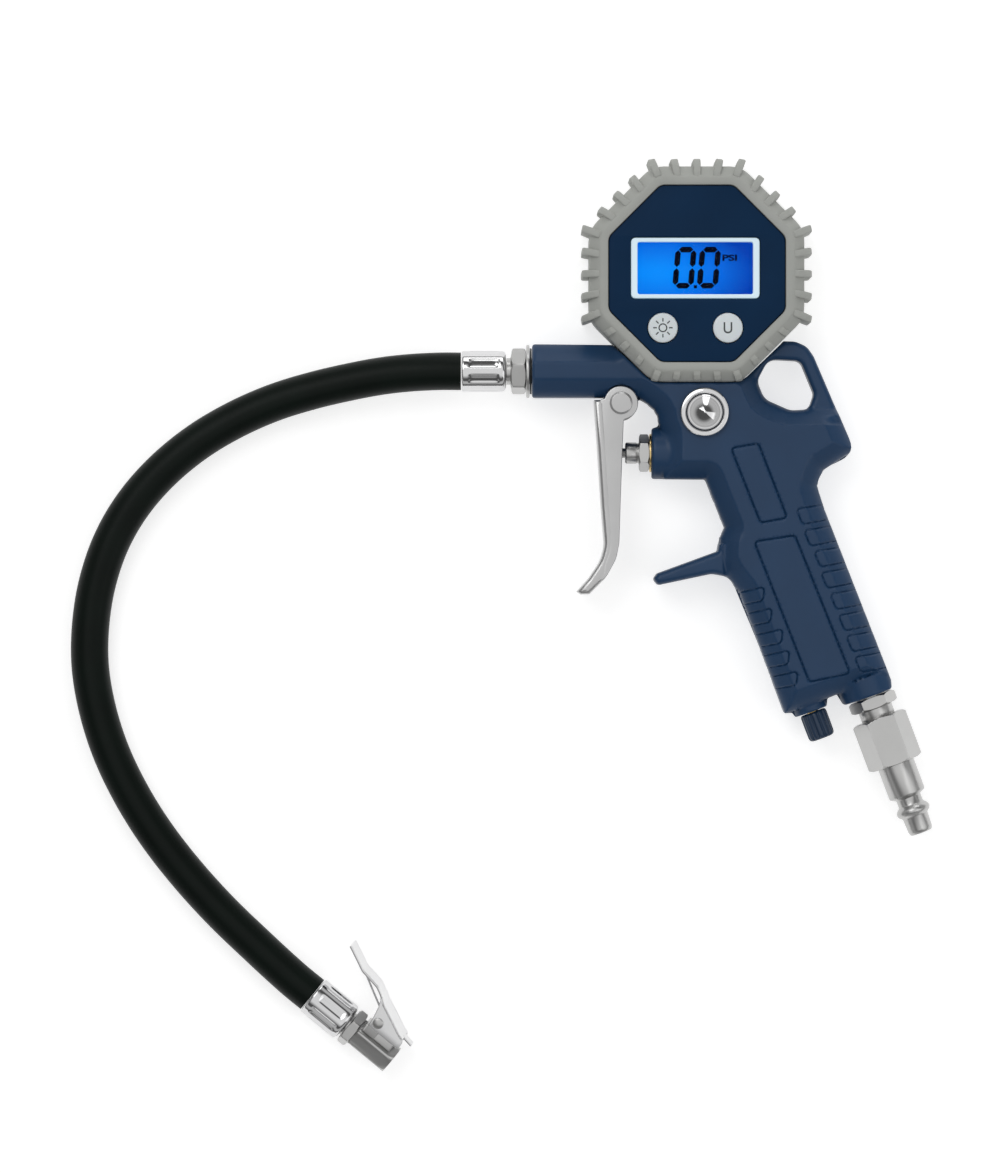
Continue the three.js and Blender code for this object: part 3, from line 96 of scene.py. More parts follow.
# The route that the hose follows, as in the part, in millimetres of the gauge's frame.
HOSE_ROUTE = [
    HOSE_EXIT,
    (-90, -33.5, 12),
    (-100, -34, 11.6),
    (-110, -35.1, 10.8),
    (-121, -37.1, 9.7),
    (-134, -40.1, 8.5),
    (-148, -44.4, 7.5),
    (-162, -50.6, 6.9),
    (-175, -58.4, 6.8),
    (-187, -68.3, 6.8),
    (-197, -79.7, 6.8),
    (-204.5, -92.4, 6.8),
    (-209.5, -106.6, 6.8),
    (-212, -121.2, 6.8),
    (-212.3, -136, 6.8),
    (-210, -150.6, 6.8),
    (-205.5, -165.4, 6.8),
    (-199, -179.5, 6.8),
    (-190.5, -193.6, 6.8),
    (-180, -207.5, 6.8),
    (-167, -222, 6.8),
    (-152, -236.4, 7),
    (-141, -246.4, 7.3),
    CHUCK_END,
]

# ---- Shapes ----


def soften(points, radius, steps=4, closed=False):
    """Rounds the corners of a line of points, each by at most 45 % of its shorter side."""
    points = [Vector(p) for p in points]
    count = len(points)
    out = []
    for i, point in enumerate(points):
        if not closed and i in (0, count - 1):
            out.append(tuple(point))
            continue
        size = radius[i] if isinstance(radius, (list, tuple)) else radius
        before = points[i - 1] - point
        after = points[(i + 1) % count] - point
        turn = before.angle(after, math.pi)
        reach = min(size / max(math.tan(turn / 2), 1e-4), 0.45 * before.length, 0.45 * after.length)
        if size <= 0 or turn > math.pi - 0.02:
            out.append(tuple(point))
            continue
        start = point + before.normalized() * reach
        end = point + after.normalized() * reach
        for k in range(steps + 1):
            t = k / steps
            out.append(tuple((1 - t) ** 2 * start + 2 * t * (1 - t) * point + t * t * end))
    return out


def octagon(flats, corner, steps=6):
    """The outline of a regular octagon with rounded corners."""
    reach = (flats / 2 - corner) / math.cos(math.pi / 8)
    points = []
    for k in range(8):
        middle = math.pi / 8 + k * math.pi / 4
        for step in range(steps + 1):
            turn = (k + step / steps) * math.pi / 4
            points.append(
                (
                    reach * math.cos(middle) + corner * math.cos(turn),
                    reach * math.sin(middle) + corner * math.sin(turn),
                )
            )
    return points


def rectangle(width, height, corner, centre=(0, 0), steps=6):
    x, y = width / 2, height / 2
    corners = [(x, -y), (x, y), (-x, y), (-x, -y)]
    points = soften(corners, corner, steps, closed=True)
    return [(px + centre[0], py + centre[1]) for px, py in points]


def circle(radius, centre=(0, 0), sides=64):
    turns = [2 * math.pi * i / sides for i in range(sides)]
    return [(centre[0] + radius * math.cos(t), centre[1] + radius * math.sin(t)) for t in turns]


def lathe(profile, sides=96, shape=None):
    """A turned piece about +Y from (radius, height) points; a profile off the axis closes on itself."""
    verts, rings = [], []
    for radius, height in profile:
        if radius < 1e-6:
            rings.append([len(verts)])
            verts.append((0, height, 0))
            continue
        ring = []
        for i in range(sides):
            turn = 2 * math.pi * i / sides
            r = shape(turn, radius, height) if shape else radius
            ring.append(len(verts))
            verts.append((r * math.cos(turn), height, r * math.sin(turn)))
        rings.append(ring)
    if len(rings[0]) > 1 and len(rings[-1]) > 1:
        rings.append(rings[0])
    faces = []
    for low, high in zip(rings, rings[1:]):
        for i in range(sides):
            j = (i + 1) % sides
            if len(low) == 1:
                faces.append((low[0], high[i], high[j]))
            elif len(high) == 1:
                faces.append((low[i], high[0], low[j]))
            else:
                faces.append((low[i], high[i], high[j], low[j]))
    return verts, faces


def flat_ring(outer, inner, low, high, corner):
    """A washer about +Y, with rounded edges."""
    profile = [(outer, low), (outer, high), (inner, high), (inner, low)]
    return lathe(soften(profile, corner, closed=True))


def hexagonal(flats, low, high, lean=0):
    """Limits a turned shape to a hexagon between two heights, with a flat `lean` degrees off +Z."""

    def shape(turn, radius, height):
        if not low <= height <= high:
            return radius
        offset = (turn + math.radians(lean) - math.pi / 3) % (math.pi / 3) - math.pi / 6
        return min(radius, flats / 2 / math.cos(offset))

    return shape


def hex_rows(flats, low, high):
    """Profile rows of a hexagon with chamfered corners, from its low end to its high one."""
    corner = flats / 2 / math.cos(math.pi / 6)
    chamfer = corner - flats / 2
    rows = []
    for k in range(9):
        rows.append((corner - chamfer * (1 - k / 8) ** 1.4 - 0.03, low + 0.6 * chamfer * k / 8))
    return rows + [(r, high + low - y) for r, y in reversed(rows)]


def hex_turned(before, flats, low, high, after, lean=0):
    """A turned piece with a hexagon between two of its heights."""
    rows = [*before, *hex_rows(flats, low, high), *after]
    return lathe(rows, 144, hexagonal(flats, low - 0.02, high + 0.02, lean))


def plate(outlines, low, high, edge=0.3, steps=3):
    """A flat piece between two heights, with its edges rounded; outlines inside the first are holes."""
    curve = bpy.data.curves.new("plate", "CURVE")
    curve.dimensions = "2D"
    curve.fill_mode = "BOTH"
    curve.extrude = (high - low) / 2 - edge
    curve.bevel_depth = edge
    curve.bevel_resolution = steps
    curve.offset = -edge
    for points in outlines:
        spline = curve.splines.new("POLY")
        spline.points.add(len(points) - 1)
        for place, (x, y) in zip(spline.points, points):
            place.co = (x, y, 0, 1)
        spline.use_cyclic_u = True
    holder = bpy.data.objects.new("plate", curve)
    bpy.context.scene.collection.objects.link(holder)
    bpy.context.view_layer.update()
    mesh = bpy.data.meshes.new_from_object(holder.evaluated_get(bpy.context.evaluated_depsgraph_get()))
    bpy.data.objects.remove(holder)
    bpy.data.curves.remove(curve)
    verts = [(v.co.x, v.co.y, v.co.z + (high + low) / 2) for v in mesh.vertices]
    faces = [tuple(p.vertices) for p in mesh.polygons]
    bpy.data.meshes.remove(mesh)
    return verts, faces


def loft(rings, closed=False):
    """Joins rings of the same number of points, in order."""
    count = len(rings[0])
    verts = [point for ring in rings for point in ring]
    order = list(range(len(rings))) + ([0] if closed else [])
    faces = []
    for a, b in zip(order, order[1:]):
        for i in range(count):
            j = (i + 1) % count
            faces.append((a * count + i, a * count + j, b * count + j, b * count + i))
    if not closed:
        faces.append(tuple(reversed(range(count))))
        faces.append(tuple((len(rings) - 1) * count + i for i in range(count)))
    return verts, faces


def wire(points, radius, sides=10):
    """A round wire along a line of points, with flat ends."""
    points = [Vector(p) for p in points]
    rings = []
    side = None
    for i, point in enumerate(points):
        ahead = (points[min(i + 1, len(points) - 1)] - points[max(i - 1, 0)]).normalized()
        if side is None:
            side = ahead.orthogonal().normalized()
        side = (side - ahead * side.dot(ahead)).normalized()
        other = ahead.cross(side)
        turns = [2 * math.pi * k / sides for k in range(sides)]
        rings.append([tuple(point + radius * (side * math.cos(t) + other * math.sin(t))) for t in turns])
    return loft(rings)


def turned_over(shape, matrix):
    """The shape, turned or moved by a matrix."""
    verts, faces = shape
    return [tuple(matrix @ Vector(v)) for v in verts], faces


def together(*shapes):
    """Several shapes as one."""
    verts, faces = [], []
    for shape_verts, shape_faces in shapes:
        start = len(verts)
        verts += shape_verts
        faces += [tuple(start + i for i in face) for face in shape_faces]
    return verts, faces


def piece(name, shape, place, material, body, nodes, sharp=32):
    """Makes a piece from millimetre geometry, in place, and ties it to its body and CAD nodes."""
    verts, faces = shape
    mesh = bpy.data.meshes.new(name)
    mesh.from_pydata(verts, [], faces)
    work = bmesh.new()
    work.from_mesh(mesh)
    bmesh.ops.remove_doubles(work, verts=work.verts, dist=1e-4)
    bmesh.ops.dissolve_degenerate(work, edges=work.edges, dist=1e-5)
    bmesh.ops.recalc_face_normals(work, faces=work.faces)
    work.to_mesh(mesh)
    work.free()
    mesh.transform(place)
    mesh.shade_smooth()
    mesh.set_sharp_from_angle(angle=math.radians(sharp))
    mesh.materials.append(material)
    made = bpy.data.objects.new(name, mesh)
    bpy.context.scene.collection.objects.link(made)
    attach(made, body)
    if nodes:
        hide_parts(*nodes)
    return made


# ---- Materials ----


def new_material(name):
    material = bpy.data.materials.new(name)
    material.use_nodes = True
    tree = material.node_tree
    return material, tree, tree.nodes["Principled BSDF"]


def add_node(tree, kind, **inputs):
    node = tree.nodes.new(kind)
    for key, value in inputs.items():
        node.inputs[key.replace("_", " ")].default_value = value
    return node


def object_noise(tree, scale, detail=4.0, stretch=(1, 1, 1)):
    """Noise over the object's own coordinates, with `scale` features to the metre."""
    place = tree.nodes.new("ShaderNodeTexCoord")
    mapping = tree.nodes.new("ShaderNodeMapping")
    mapping.inputs["Scale"].default_value = stretch
    noise = add_node(tree, "ShaderNodeTexNoise", Scale=scale, Detail=detail)
    tree.links.new(place.outputs["Object"], mapping.inputs["Vector"])
    tree.links.new(mapping.outputs["Vector"], noise.inputs["Vector"])
    return noise


def vary_colour(tree, shader, color, spread, noise):
    """A base colour that drifts between two near shades."""
    ramp = tree.nodes.new("ShaderNodeValToRGB")
    low, high = ramp.color_ramp.elements
    low.position, high.position = 0.3, 0.7
    low.color = (*[max(c * (1 - spread), 0) for c in color], 1)
    high.color = (*[min(c * (1 + spread), 1) for c in color], 1)
    tree.links.new(noise.outputs["Fac"], ramp.inputs["Fac"])
    tree.links.new(ramp.outputs["Color"], shader.inputs["Base Color"])


def vary_roughness(tree, shader, low, high, noise):
    spread = tree.nodes.new("ShaderNodeMapRange")
    spread.inputs["To Min"].default_value = low
    spread.inputs["To Max"].default_value = high
    tree.links.new(noise.outputs["Fac"], spread.inputs["Value"])
    tree.links.new(spread.outputs["Result"], shader.inputs["Roughness"])


def bump(tree, shader, noise, depth, strength):
    node = add_node(tree, "ShaderNodeBump", Strength=strength, Distance=depth)
    tree.links.new(noise.outputs["Fac"], node.inputs["Height"])
    tree.links.new(node.outputs["Normal"], shader.inputs["Normal"])


def surface(name, color, rough, metal=0.0, grain=3000, relief=0.0, spread=0.06, stretch=(1, 1, 1), shine=0.5):
    """A moulded, coated or plated finish: drifting shade, uneven gloss and a fine relief."""
    material, tree, shader = new_material(name)
    shader.inputs["Metallic"].default_value = metal
    cloud = object_noise(tree, 70, 3)
    vary_colour(tree, shader, color, spread, cloud)
    fine = object_noise(tree, grain, 5, stretch)
    vary_roughness(tree, shader, rough * 0.86, rough * 1.16, fine)
    shader.inputs["Specular IOR Level"].default_value = shine
    if relief:
        bump(tree, shader, fine, relief, 0.5)
    return material


def powder_coat(color):
    return surface("navy powder coat", color, 0.36, grain=2600, relief=0.00003, spread=0.05, shine=0.3)


def moulded_navy(color):
    return surface("moulded navy plastic", color, 0.34, grain=4200, relief=0.00001, shine=0.06)


def knob_plastic():
    return surface("knob plastic", (0.009, 0.03, 0.07), 0.32, grain=4200, relief=0.00001, shine=0.45)


def boot_rubber(color):
    return surface("matte boot rubber", color, 0.62, grain=1900, relief=0.00005, spread=0.035, shine=0.4)


def hose_rubber(color):
    return surface("black hose rubber", color, 0.42, grain=900, relief=0.00004, spread=0.2, shine=0.12)


def seal_rubber():
    return surface("seal rubber", (0.012, 0.013, 0.013), 0.5, grain=2500, relief=0.00002)


def satin_lever(color):
    return surface("satin plated lever", color, 0.3, 1.0, 2200, 0.00001, 0.03)


def bright_chrome():
    return surface("bright chrome", (0.66, 0.66, 0.665), 0.1, 1.0, 900, 0.0, 0.02)


def bright_nickel():
    return surface("bright nickel", (0.5, 0.499, 0.493), 0.31, 1.0, 1400, 0.000004, 0.03, (1, 1, 6))


def spring_wire():
    return surface("spring wire", (0.56, 0.56, 0.57), 0.28, 1.0, 2600, 0.000004, 0.05)


def turned_brass():
    return surface("turned brass", (0.76, 0.56, 0.25), 0.24, 1.0, 1800, 0.000004, 0.05, (8, 1, 8))


def button_plastic(color):
    material = surface("translucent white plastic", color, 0.36, grain=3600, relief=0.00001, spread=0.02)
    material.node_tree.nodes["Principled BSDF"].inputs["Subsurface Weight"].default_value = 0.05
    return material


def frame_plastic(color):
    """White moulding that glows a little with the display's light."""
    material = surface("white display frame", color, 0.28, 0.0, 3600, 0.000006, 0.02, shine=0.3)
    shader = material.node_tree.nodes["Principled BSDF"]
    shader.inputs["Emission Color"].default_value = (0.35, 0.75, 1, 1)
    shader.inputs["Emission Strength"].default_value = 0.16
    return material


def dark_plastic():
    return surface("charcoal moulding", (0.022, 0.024, 0.027), 0.55, grain=2400, relief=0.00004, spread=0.1)


def print_ink():
    return surface("dark print", (0.05, 0.055, 0.06), 0.5, grain=4000, spread=0.1)


def segment_ink():
    return surface("display segments", (0.0, 0.002, 0.012), 0.6, grain=4000, spread=0.1, shine=0.05)


def board_resist():
    return surface("solder resist", (0.015, 0.12, 0.045), 0.35, grain=1200, relief=0.00003, spread=0.2)


def lit_display(color):
    """A back-lit display, brightest left of its middle where its lamp sits."""
    material, tree, shader = new_material("lit display")
    place = tree.nodes.new("ShaderNodeTexCoord")
    mapping = tree.nodes.new("ShaderNodeMapping")
    lamp = IN_ROW @ Vector((-13.5, 0.5, FACE_TOP))
    reach = Vector((0.034, 0.016, 0.05))
    mapping.inputs["Location"].default_value = [-lamp[i] / reach[i] for i in range(3)]
    mapping.inputs["Scale"].default_value = [1 / size for size in reach]
    glow = tree.nodes.new("ShaderNodeTexGradient")
    glow.gradient_type = "SPHERICAL"
    ramp = tree.nodes.new("ShaderNodeValToRGB")
    stops = ramp.color_ramp.elements
    stops[0].position, stops[1].position = 0.0, 0.85
    stops[0].color = (color[0], color[1] * 0.3, color[2] * 0.55, 1)
    stops[1].color = (0.0, color[1] * 1.75, 1.0, 1)
    middle = stops.new(0.4)
    middle.color = (*color, 1)
    tree.links.new(place.outputs["Object"], mapping.inputs["Vector"])
    tree.links.new(mapping.outputs["Vector"], glow.inputs["Vector"])
    tree.links.new(glow.outputs["Fac"], ramp.inputs["Fac"])
    tree.links.new(ramp.outputs["Color"], shader.inputs["Emission Color"])
    shader.inputs["Base Color"].default_value = (0.0, 0.01, 0.03, 1)
    shader.inputs["Emission Strength"].default_value = 0.95
    shader.inputs["Roughness"].default_value = 0.4
    shader.inputs["Specular IOR Level"].default_value = 0.05
    return material


def clear_window():
    material, tree, shader = new_material("clear window")
    shader.inputs["Base Color"].default_value = (1, 1, 1, 1)
    shader.inputs["Transmission Weight"].default_value = 1.0
    shader.inputs["IOR"].default_value = 1.06
    haze = object_noise(tree, 500, 2)
    vary_roughness(tree, shader, 0.0, 0.03, haze)
    return material


def cell_jacket():
    """A battery's printed jacket, with its copper-coloured end."""
    material, tree, shader = new_material("cell jacket")
    place = tree.nodes.new("ShaderNodeTexCoord")
    split = tree.nodes.new("ShaderNodeSeparateXYZ")
    ramp = tree.nodes.new("ShaderNodeValToRGB")
    spread = tree.nodes.new("ShaderNodeMapRange")
    low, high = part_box("battery_1")
    spread.inputs["From Min"].default_value = low.x
    spread.inputs["From Max"].default_value = high.x
    ramp.color_ramp.interpolation = "CONSTANT"
    ramp.color_ramp.elements[0].color = (0.02, 0.02, 0.022, 1)
    ramp.color_ramp.elements[1].position = 0.7
    ramp.color_ramp.elements[1].color = (0.62, 0.3, 0.12, 1)
    tree.links.new(place.outputs["Object"], split.inputs["Vector"])
    tree.links.new(split.outputs["X"], spread.inputs["Value"])
    tree.links.new(spread.outputs["Result"], ramp.inputs["Fac"])
    tree.links.new(ramp.outputs["Color"], shader.inputs["Base Color"])
    shader.inputs["Metallic"].default_value = 0.6
    shader.inputs["Roughness"].default_value = 0.3
    return material


def studio_floor():
    material = surface("studio floor", (0.62, 0.62, 0.62), 0.9, grain=40, spread=0.01)
    shader = material.node_tree.nodes["Principled BSDF"]
    shader.inputs["Emission Color"].default_value = (1, 1, 1, 1)
    shader.inputs["Emission Strength"].default_value = 0.64
    return material


made_materials = {}


def finish(maker, *color):
    """A material that is made once and shared."""
    if maker.__name__ not in made_materials:
        made_materials[maker.__name__] = maker(*color)
    return made_materials[maker.__name__]


# ---- Settings ----


def colour_property(label, about, default):
    return bpy.props.FloatVectorProperty(
        name=label, description=about, subtype="COLOR", size=3, min=0, max=1, default=default
    )


def length_property(label, about, millimetres):
    return bpy.props.FloatProperty(
        name=label, description=about, unit="LENGTH", subtype="DISTANCE", default=millimetres * MM, min=0
    )


class InflatorFinishes(bpy.types.PropertyGroup):
    """Colours of the inflator's finishes."""

    casting: colour_property("Casting", "Powder coat of the body casting", (0.012, 0.044, 0.108))
    moulding: colour_property("Moulding", "Face plate and flow knob", (0.004, 0.024, 0.066))
    boot: colour_property("Boot", "Rubber boot round the gauge", (0.4, 0.41, 0.385))
    hose: colour_property("Hose", "Rubber of the hose", (0.002, 0.005, 0.0034))
    lever: colour_property("Lever", "Plating of the trigger", (0.49, 0.49, 0.49))
    display: colour_property("Display", "Light of the display", (0.0, 0.15, 0.8))
    button: colour_property("Button", "Buttons of the gauge", (0.74, 0.78, 0.8))
    surround: colour_property("Surround", "Frame round the display", (0.8, 0.9, 0.95))


class InflatorSizes(bpy.types.PropertyGroup):
    """Sizes of edges and details that a user may change."""

    hose_diameter: length_property("Hose diameter", "Outside of the hose", 13.2)
    edge_width: length_property("Edge width", "Width of the casting's rounded edge", 6.5)
    edge_drop: length_property("Edge drop", "Depth of the casting's rounded edge", 6.6)
    blend: length_property("Blend", "Fillet where the casting's shapes meet", 1.6)
    groove_depth: length_property("Groove depth", "Depth of the grip's engraved lines", 0.75)
    pad_height: length_property("Pad height", "Height of the grip's raised pads", 0.55)
    tooth_round: length_property("Tooth rounding", "Rounding of the boot's teeth", 0.55)


def finishes():
    return bpy.context.scene.inflator_finishes


def size(name):
    """A size from the settings, in millimetres."""
    return getattr(bpy.context.scene.inflator_sizes, name) / MM


# ---- Stage ----


# Brightness of the room by height, from the horizon to overhead.
ROOM_BANDS = [
    (0.0, 0.06), (0.12, 0.1), (0.26, 0.55), (0.46, 0.6), (0.55, 0.1),
    (0.72, 0.1), (0.82, 0.5), (0.9, 0.92), (1.0, 0.94),
]
# Soft lamps: (place from what the camera looks at, in metres), width and watts.
LAMPS = {
    "key": ((-0.5, 0.75, 1.2), 0.9, 5),
    "fill": ((0.9, -0.3, 0.9), 0.8, 2),
    "rim": ((0.2, 1.3, 0.45), 0.6, 2),
}
VIEW_CENTRE = (-68.5, -108.8, 12)  # what the camera looks at, in millimetres
VIEW_HEIGHT = 0.41055  # metres of the stage that the picture is high
CAMERA_DISTANCE = 2.3
SENSOR = 36
FLOOR_REACH = 6
FLOOR_LEVEL = -0.0002


class INFLATOR_OT_stage(bpy.types.Operator):
    """Make the camera, the lights and the floor"""

    bl_idname = "inflator.stage"
    bl_label = "Stage"

    def execute(self, context):
        scene = context.scene
        aim = IN_ROW @ Vector(VIEW_CENTRE)
        camera = bpy.data.cameras.new("camera")
        camera.sensor_fit = "AUTO"
        camera.sensor_width = SENSOR
        camera.lens = SENSOR * CAMERA_DISTANCE / VIEW_HEIGHT
        camera.clip_end = 20
        holder = bpy.data.objects.new("camera", camera)
        holder.location = aim + Vector((0, 0, CAMERA_DISTANCE))
        scene.collection.objects.link(holder)
        scene.camera = holder
        scene.view_settings.view_transform = "Standard"
        self.light_room(scene)
        for name, (offset, width, power) in LAMPS.items():
            self.add_lamp(scene, name, aim, offset, width, power)
        self.add_floor(scene, aim)
        return {"FINISHED"}

    def light_room(self, scene):
        """A room with a soft light overhead and a darker band below it, so that metal shows its shape."""
        world = bpy.data.worlds.new("room")
        scene.world = world
        world.use_nodes = True
        tree = world.node_tree
        back = tree.nodes["Background"]
        back.inputs["Strength"].default_value = 1.0
        place = tree.nodes.new("ShaderNodeTexCoord")
        split = tree.nodes.new("ShaderNodeSeparateXYZ")
        ramp = tree.nodes.new("ShaderNodeValToRGB")
        stops = ramp.color_ramp.elements
        stops[1].position = ROOM_BANDS[1][0]
        for height, _ in ROOM_BANDS[2:]:
            stops.new(height)
        for stop, (height, level) in zip(stops, ROOM_BANDS):
            stop.color = (level, level, level, 1)
        tree.links.new(place.outputs["Generated"], split.inputs["Vector"])
        tree.links.new(split.outputs["Z"], ramp.inputs["Fac"])
        tree.links.new(ramp.outputs["Color"], back.inputs["Color"])

    def add_lamp(self, scene, name, aim, offset, width, power):
        lamp = bpy.data.lights.new(name, "AREA")
        lamp.shape = "SQUARE"
        lamp.size = width
        lamp.energy = power
        holder = bpy.data.objects.new(name, lamp)
        holder.location = aim + Vector(offset)
        holder.rotation_euler = (-Vector(offset)).to_track_quat("-Z", "Y").to_euler()
        scene.collection.objects.link(holder)

    def add_floor(self, scene, aim):
        mesh = bpy.data.meshes.new("floor")
        corners = rectangle(2 * FLOOR_REACH, 2 * FLOOR_REACH, 0)
        mesh.from_pydata([(aim.x + x, aim.y + y, FLOOR_LEVEL) for x, y in corners], [], [(0, 1, 2, 3)])
        mesh.materials.append(finish(studio_floor))
        floor = bpy.data.objects.new("floor", mesh)
        scene.collection.objects.link(floor)


# ---- Hose ----


class INFLATOR_OT_hose(bpy.types.Operator):
    """Lay the hose along its route"""

    bl_idname = "inflator.hose"
    bl_label = "Hose"

    def execute(self, context):
        points = [IN_ROW @ Vector(p) for p in HOSE_ROUTE]
        curve = bpy.data.curves.new("hose", "CURVE")
        curve.dimensions = "3D"
        curve.bevel_depth = size("hose_diameter") * MM / 2
        curve.bevel_resolution = 12
        curve.resolution_u = 10
        curve.use_fill_caps = True
        spline = curve.splines.new("BEZIER")
        spline.bezier_points.add(len(points) - 1)
        for i, (knot, point) in enumerate(zip(spline.bezier_points, points)):
            ahead = points[min(i + 1, len(points) - 1)] - point
            behind = point - points[max(i - 1, 0)]
            way = (ahead + behind).normalized()
            knot.co = point
            knot.handle_left = point - way * (behind.length or ahead.length) / 3
            knot.handle_right = point + way * (ahead.length or behind.length) / 3
        curve.materials.append(finish(hose_rubber, finishes().hose))
        hose = bpy.data.objects.new("rubber_hose", curve)
        context.scene.collection.objects.link(hose)
        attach(hose, ROOT)
        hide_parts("hose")
        return {"FINISHED"}


# ---- Body casting ----


def grip_to_side(x, y):
    """A point of the grip's frame, across and down, as seen from the side."""
    turn = math.radians(180 + GRIP_LEAN)
    return (
        GRIP_PLACE[0] + x * math.cos(turn) - y * math.sin(turn),
        GRIP_PLACE[1] + x * math.sin(turn) + y * math.cos(turn),
    )


# Outline of the casting from the side: (x, y, corner radius). It runs counterclockwise from the
# barrel's upper end, and the cradle closes it.
CASTING_OUTLINE = [
    (-57.3, -24.2, 1.2),
    (-57.3, -42.8, 1.2),
    (-31.4, -42.8, 1),
    (-31.6, -46.6, 2.5),
    (-28.6, -50.1, 2.5),
    (-24.2, -50.1, 2.5),
    (-20.9, -46.4, 2),
    (-20.2, -43.2, 1),
    (-16.9, -45.1, 2.5),
    (-14.7, -47, 1.5),
    (-13.5, -49.2, 1.5),
    (-12.9, -52.7, 1.5),
    (-15.5, -53.6, 1),
    (-15.5, -71.2, 1),
    (3.2, -71.4, 1.5),
    (9.9, -88.3, 1.2),
    (8.2, -92, 1.2),
    (7.4, -96.5, 0.8),
    (-13.6, -104.2, 1.4),
    (-15.1, -106.2, 1.6),
    (-13.4, -108.4, 1.6),
    (5.5, -104.4, 7),
    (12.2, -105.6, 7),
    (*grip_to_side(30.4, -30), 60),
    (*grip_to_side(30.4, -4.9), 1),
    (*grip_to_side(27.8, -4.2), 0.6),
    (*grip_to_side(27.2, -2.3), 0.8),
    (*grip_to_side(15.6, -2.2), 0.8),
    (*grip_to_side(14.4, -4.6), 1),
    (*grip_to_side(10.9, -4.7), 0.6),
    (*grip_to_side(10.0, -0.3), 1.4),
    (*grip_to_side(-7.6, -0.1), 1.4),
    (*grip_to_side(-8.5, -3), 1.5),
    (44.8, -81.9, 12),
    (41.9, -73, 9),
    (44.6, -67.7, 9),
    (55.6, -62.3, 6),
    (41.1, -28.4, 9),
    (38.7, -24.9, 6),
    (34.6, -23.2, 6),
    (30.5, -23.1, 0.5),
]
CRADLE_FLATS = 75.3
CRADLE_RIGHT, CRADLE_LEFT = (29.8, -23.9), (-29.2, -24.5)
BARREL_END = [(-57.3, -24), (-57.3, -43)]
HOOK_HOLE = [
    (21.3, -37, 4.5),
    (23.9, -43.3, 6),
    (33, -47.3, 7),
    (39.4, -46.9, 3.4),
    (41.2, -41.6, 3),
    (36.4, -30, 3.4),
    (25.4, -29.4, 5),
]

# Edges of the flat body, where its bevel starts: down the front, up the rear, and along the loop and barrel.
SLAB_FRONT = [
    (-57.3, -42.8), (-20.2, -42.8), (-16.9, -45.1), (-14.7, -47), (-13.5, -49.2), (-12.9, -52.7),
    (-11.5, -56), (-11.5, -71.4), (3.2, -71.4), (9.9, -88.3), (8.2, -92), (8, -100), (10.5, -104.9),
    grip_to_side(30.4, -50), grip_to_side(30.4, -4.8),
]
SLAB_REAR = [
    SLAB_FRONT[-1], grip_to_side(-8.5, -4.8), (44.8, -81.9), (42.3, -73.6), (44.4, -68.2), (55.4, -61),
]
SLAB_LOOP = [SLAB_REAR[-1], (42.2, -29.4)]
SLAB_SHOULDER = [(32.4, -23.1), (29.6, -23.9)]
SLAB_TOP = [(-29.2, -24.2), (-57.3, -24.2)]
SLAB_EDGES = [SLAB_FRONT, SLAB_REAR, SLAB_LOOP, SLAB_TOP]

# Where the casting steps down to the thinner hanging loop, and the corners that close the loop's side.
LOOP_STEP = [
    (11, -36), (15.4, -39.1), (17, -43), (18.9, -46.7),
    (21.6, -49), (25.1, -50.9), (30.6, -52.6), (70, -52.6),
]
LOOP_CORNERS = [(70, 0), (11, 0)]
LOOP_SINK = 6
LOOP_SLOPE = 6
LOOP_EDGE = (2, 1.9)

VALVE_BOSS_RADIUS, VALVE_BOSS_NOSE = 9.25, 15.5
LUG_RADIUS, LUG_POCKET, LUG_HALF = 6.2, 6.35, 7.7
SPUR_HALF = 9
INLET_BOSS_RADIUS = 10.3
KNOB_BOSS_RADIUS, KNOB_OFFSET = 5.9, 21.2
CRISP_EDGE = (1.2, 1.2)

PANELS = [
    [(11.9, -60.6), (21.5, -59), (31.5, -84.9), (22.2, -86.6)],
    [(20, -93.2), (34.2, -91), (53.4, -139), (39.2, -142.1)],
]

# Inner ends of the grip's pads, down the front edge and down the rear one.
FRONT_PADS = [(23, -111.4), (25.6, -118.8), (29.4, -126.1), (31.7, -133.5), (34.6, -140.8)]
REAR_PADS = [
    (35.2, -84.6), (37.9, -92.1), (41.4, -99.4), (43.8, -106.8),
    (47, -114.2), (49.9, -121.6), (52.6, -128.9), (55.5, -136.2),
]
PAD_SLOPE = 0.2
PAD_LEAN = 0.18


def cradle_arc():
    """The cradle's edge from its right end to its left, under the boot."""
    low = [p for p in octagon(CRADLE_FLATS, 10, 8) if p[1] < -26]
    return [CRADLE_RIGHT, *sorted(low, key=lambda p: -p[0]), CRADLE_LEFT]


def panel_loops():
    """The engraved lines round the grip's two panels."""
    panels = [soften(panel, 1.4, 4, closed=True) for panel in PANELS]
    return [[*panel, panel[0]] for panel in panels]


def raised_pads():
    """Outlines of the pads along the grip's front and rear edges, open at the edge."""

    def pad(x, y, way, reach, half):
        ends = [
            (reach, half - 0.4), (0.3, half), (-0.3, half - 0.8),
            (0.5, 0.9 - half), (1.4, -half), (reach, -half),
        ]
        return [(x + way * dx - PAD_LEAN * (dy - half), y + dy + PAD_SLOPE * way * dx) for dx, dy in ends]

    pads = [pad(x, y, -1, 16, 2.25) for x, y in FRONT_PADS] + [pad(x, y, 1, 20, 2.75) for x, y in REAR_PADS]
    return [soften(points, 0.8, 4) for points in pads]


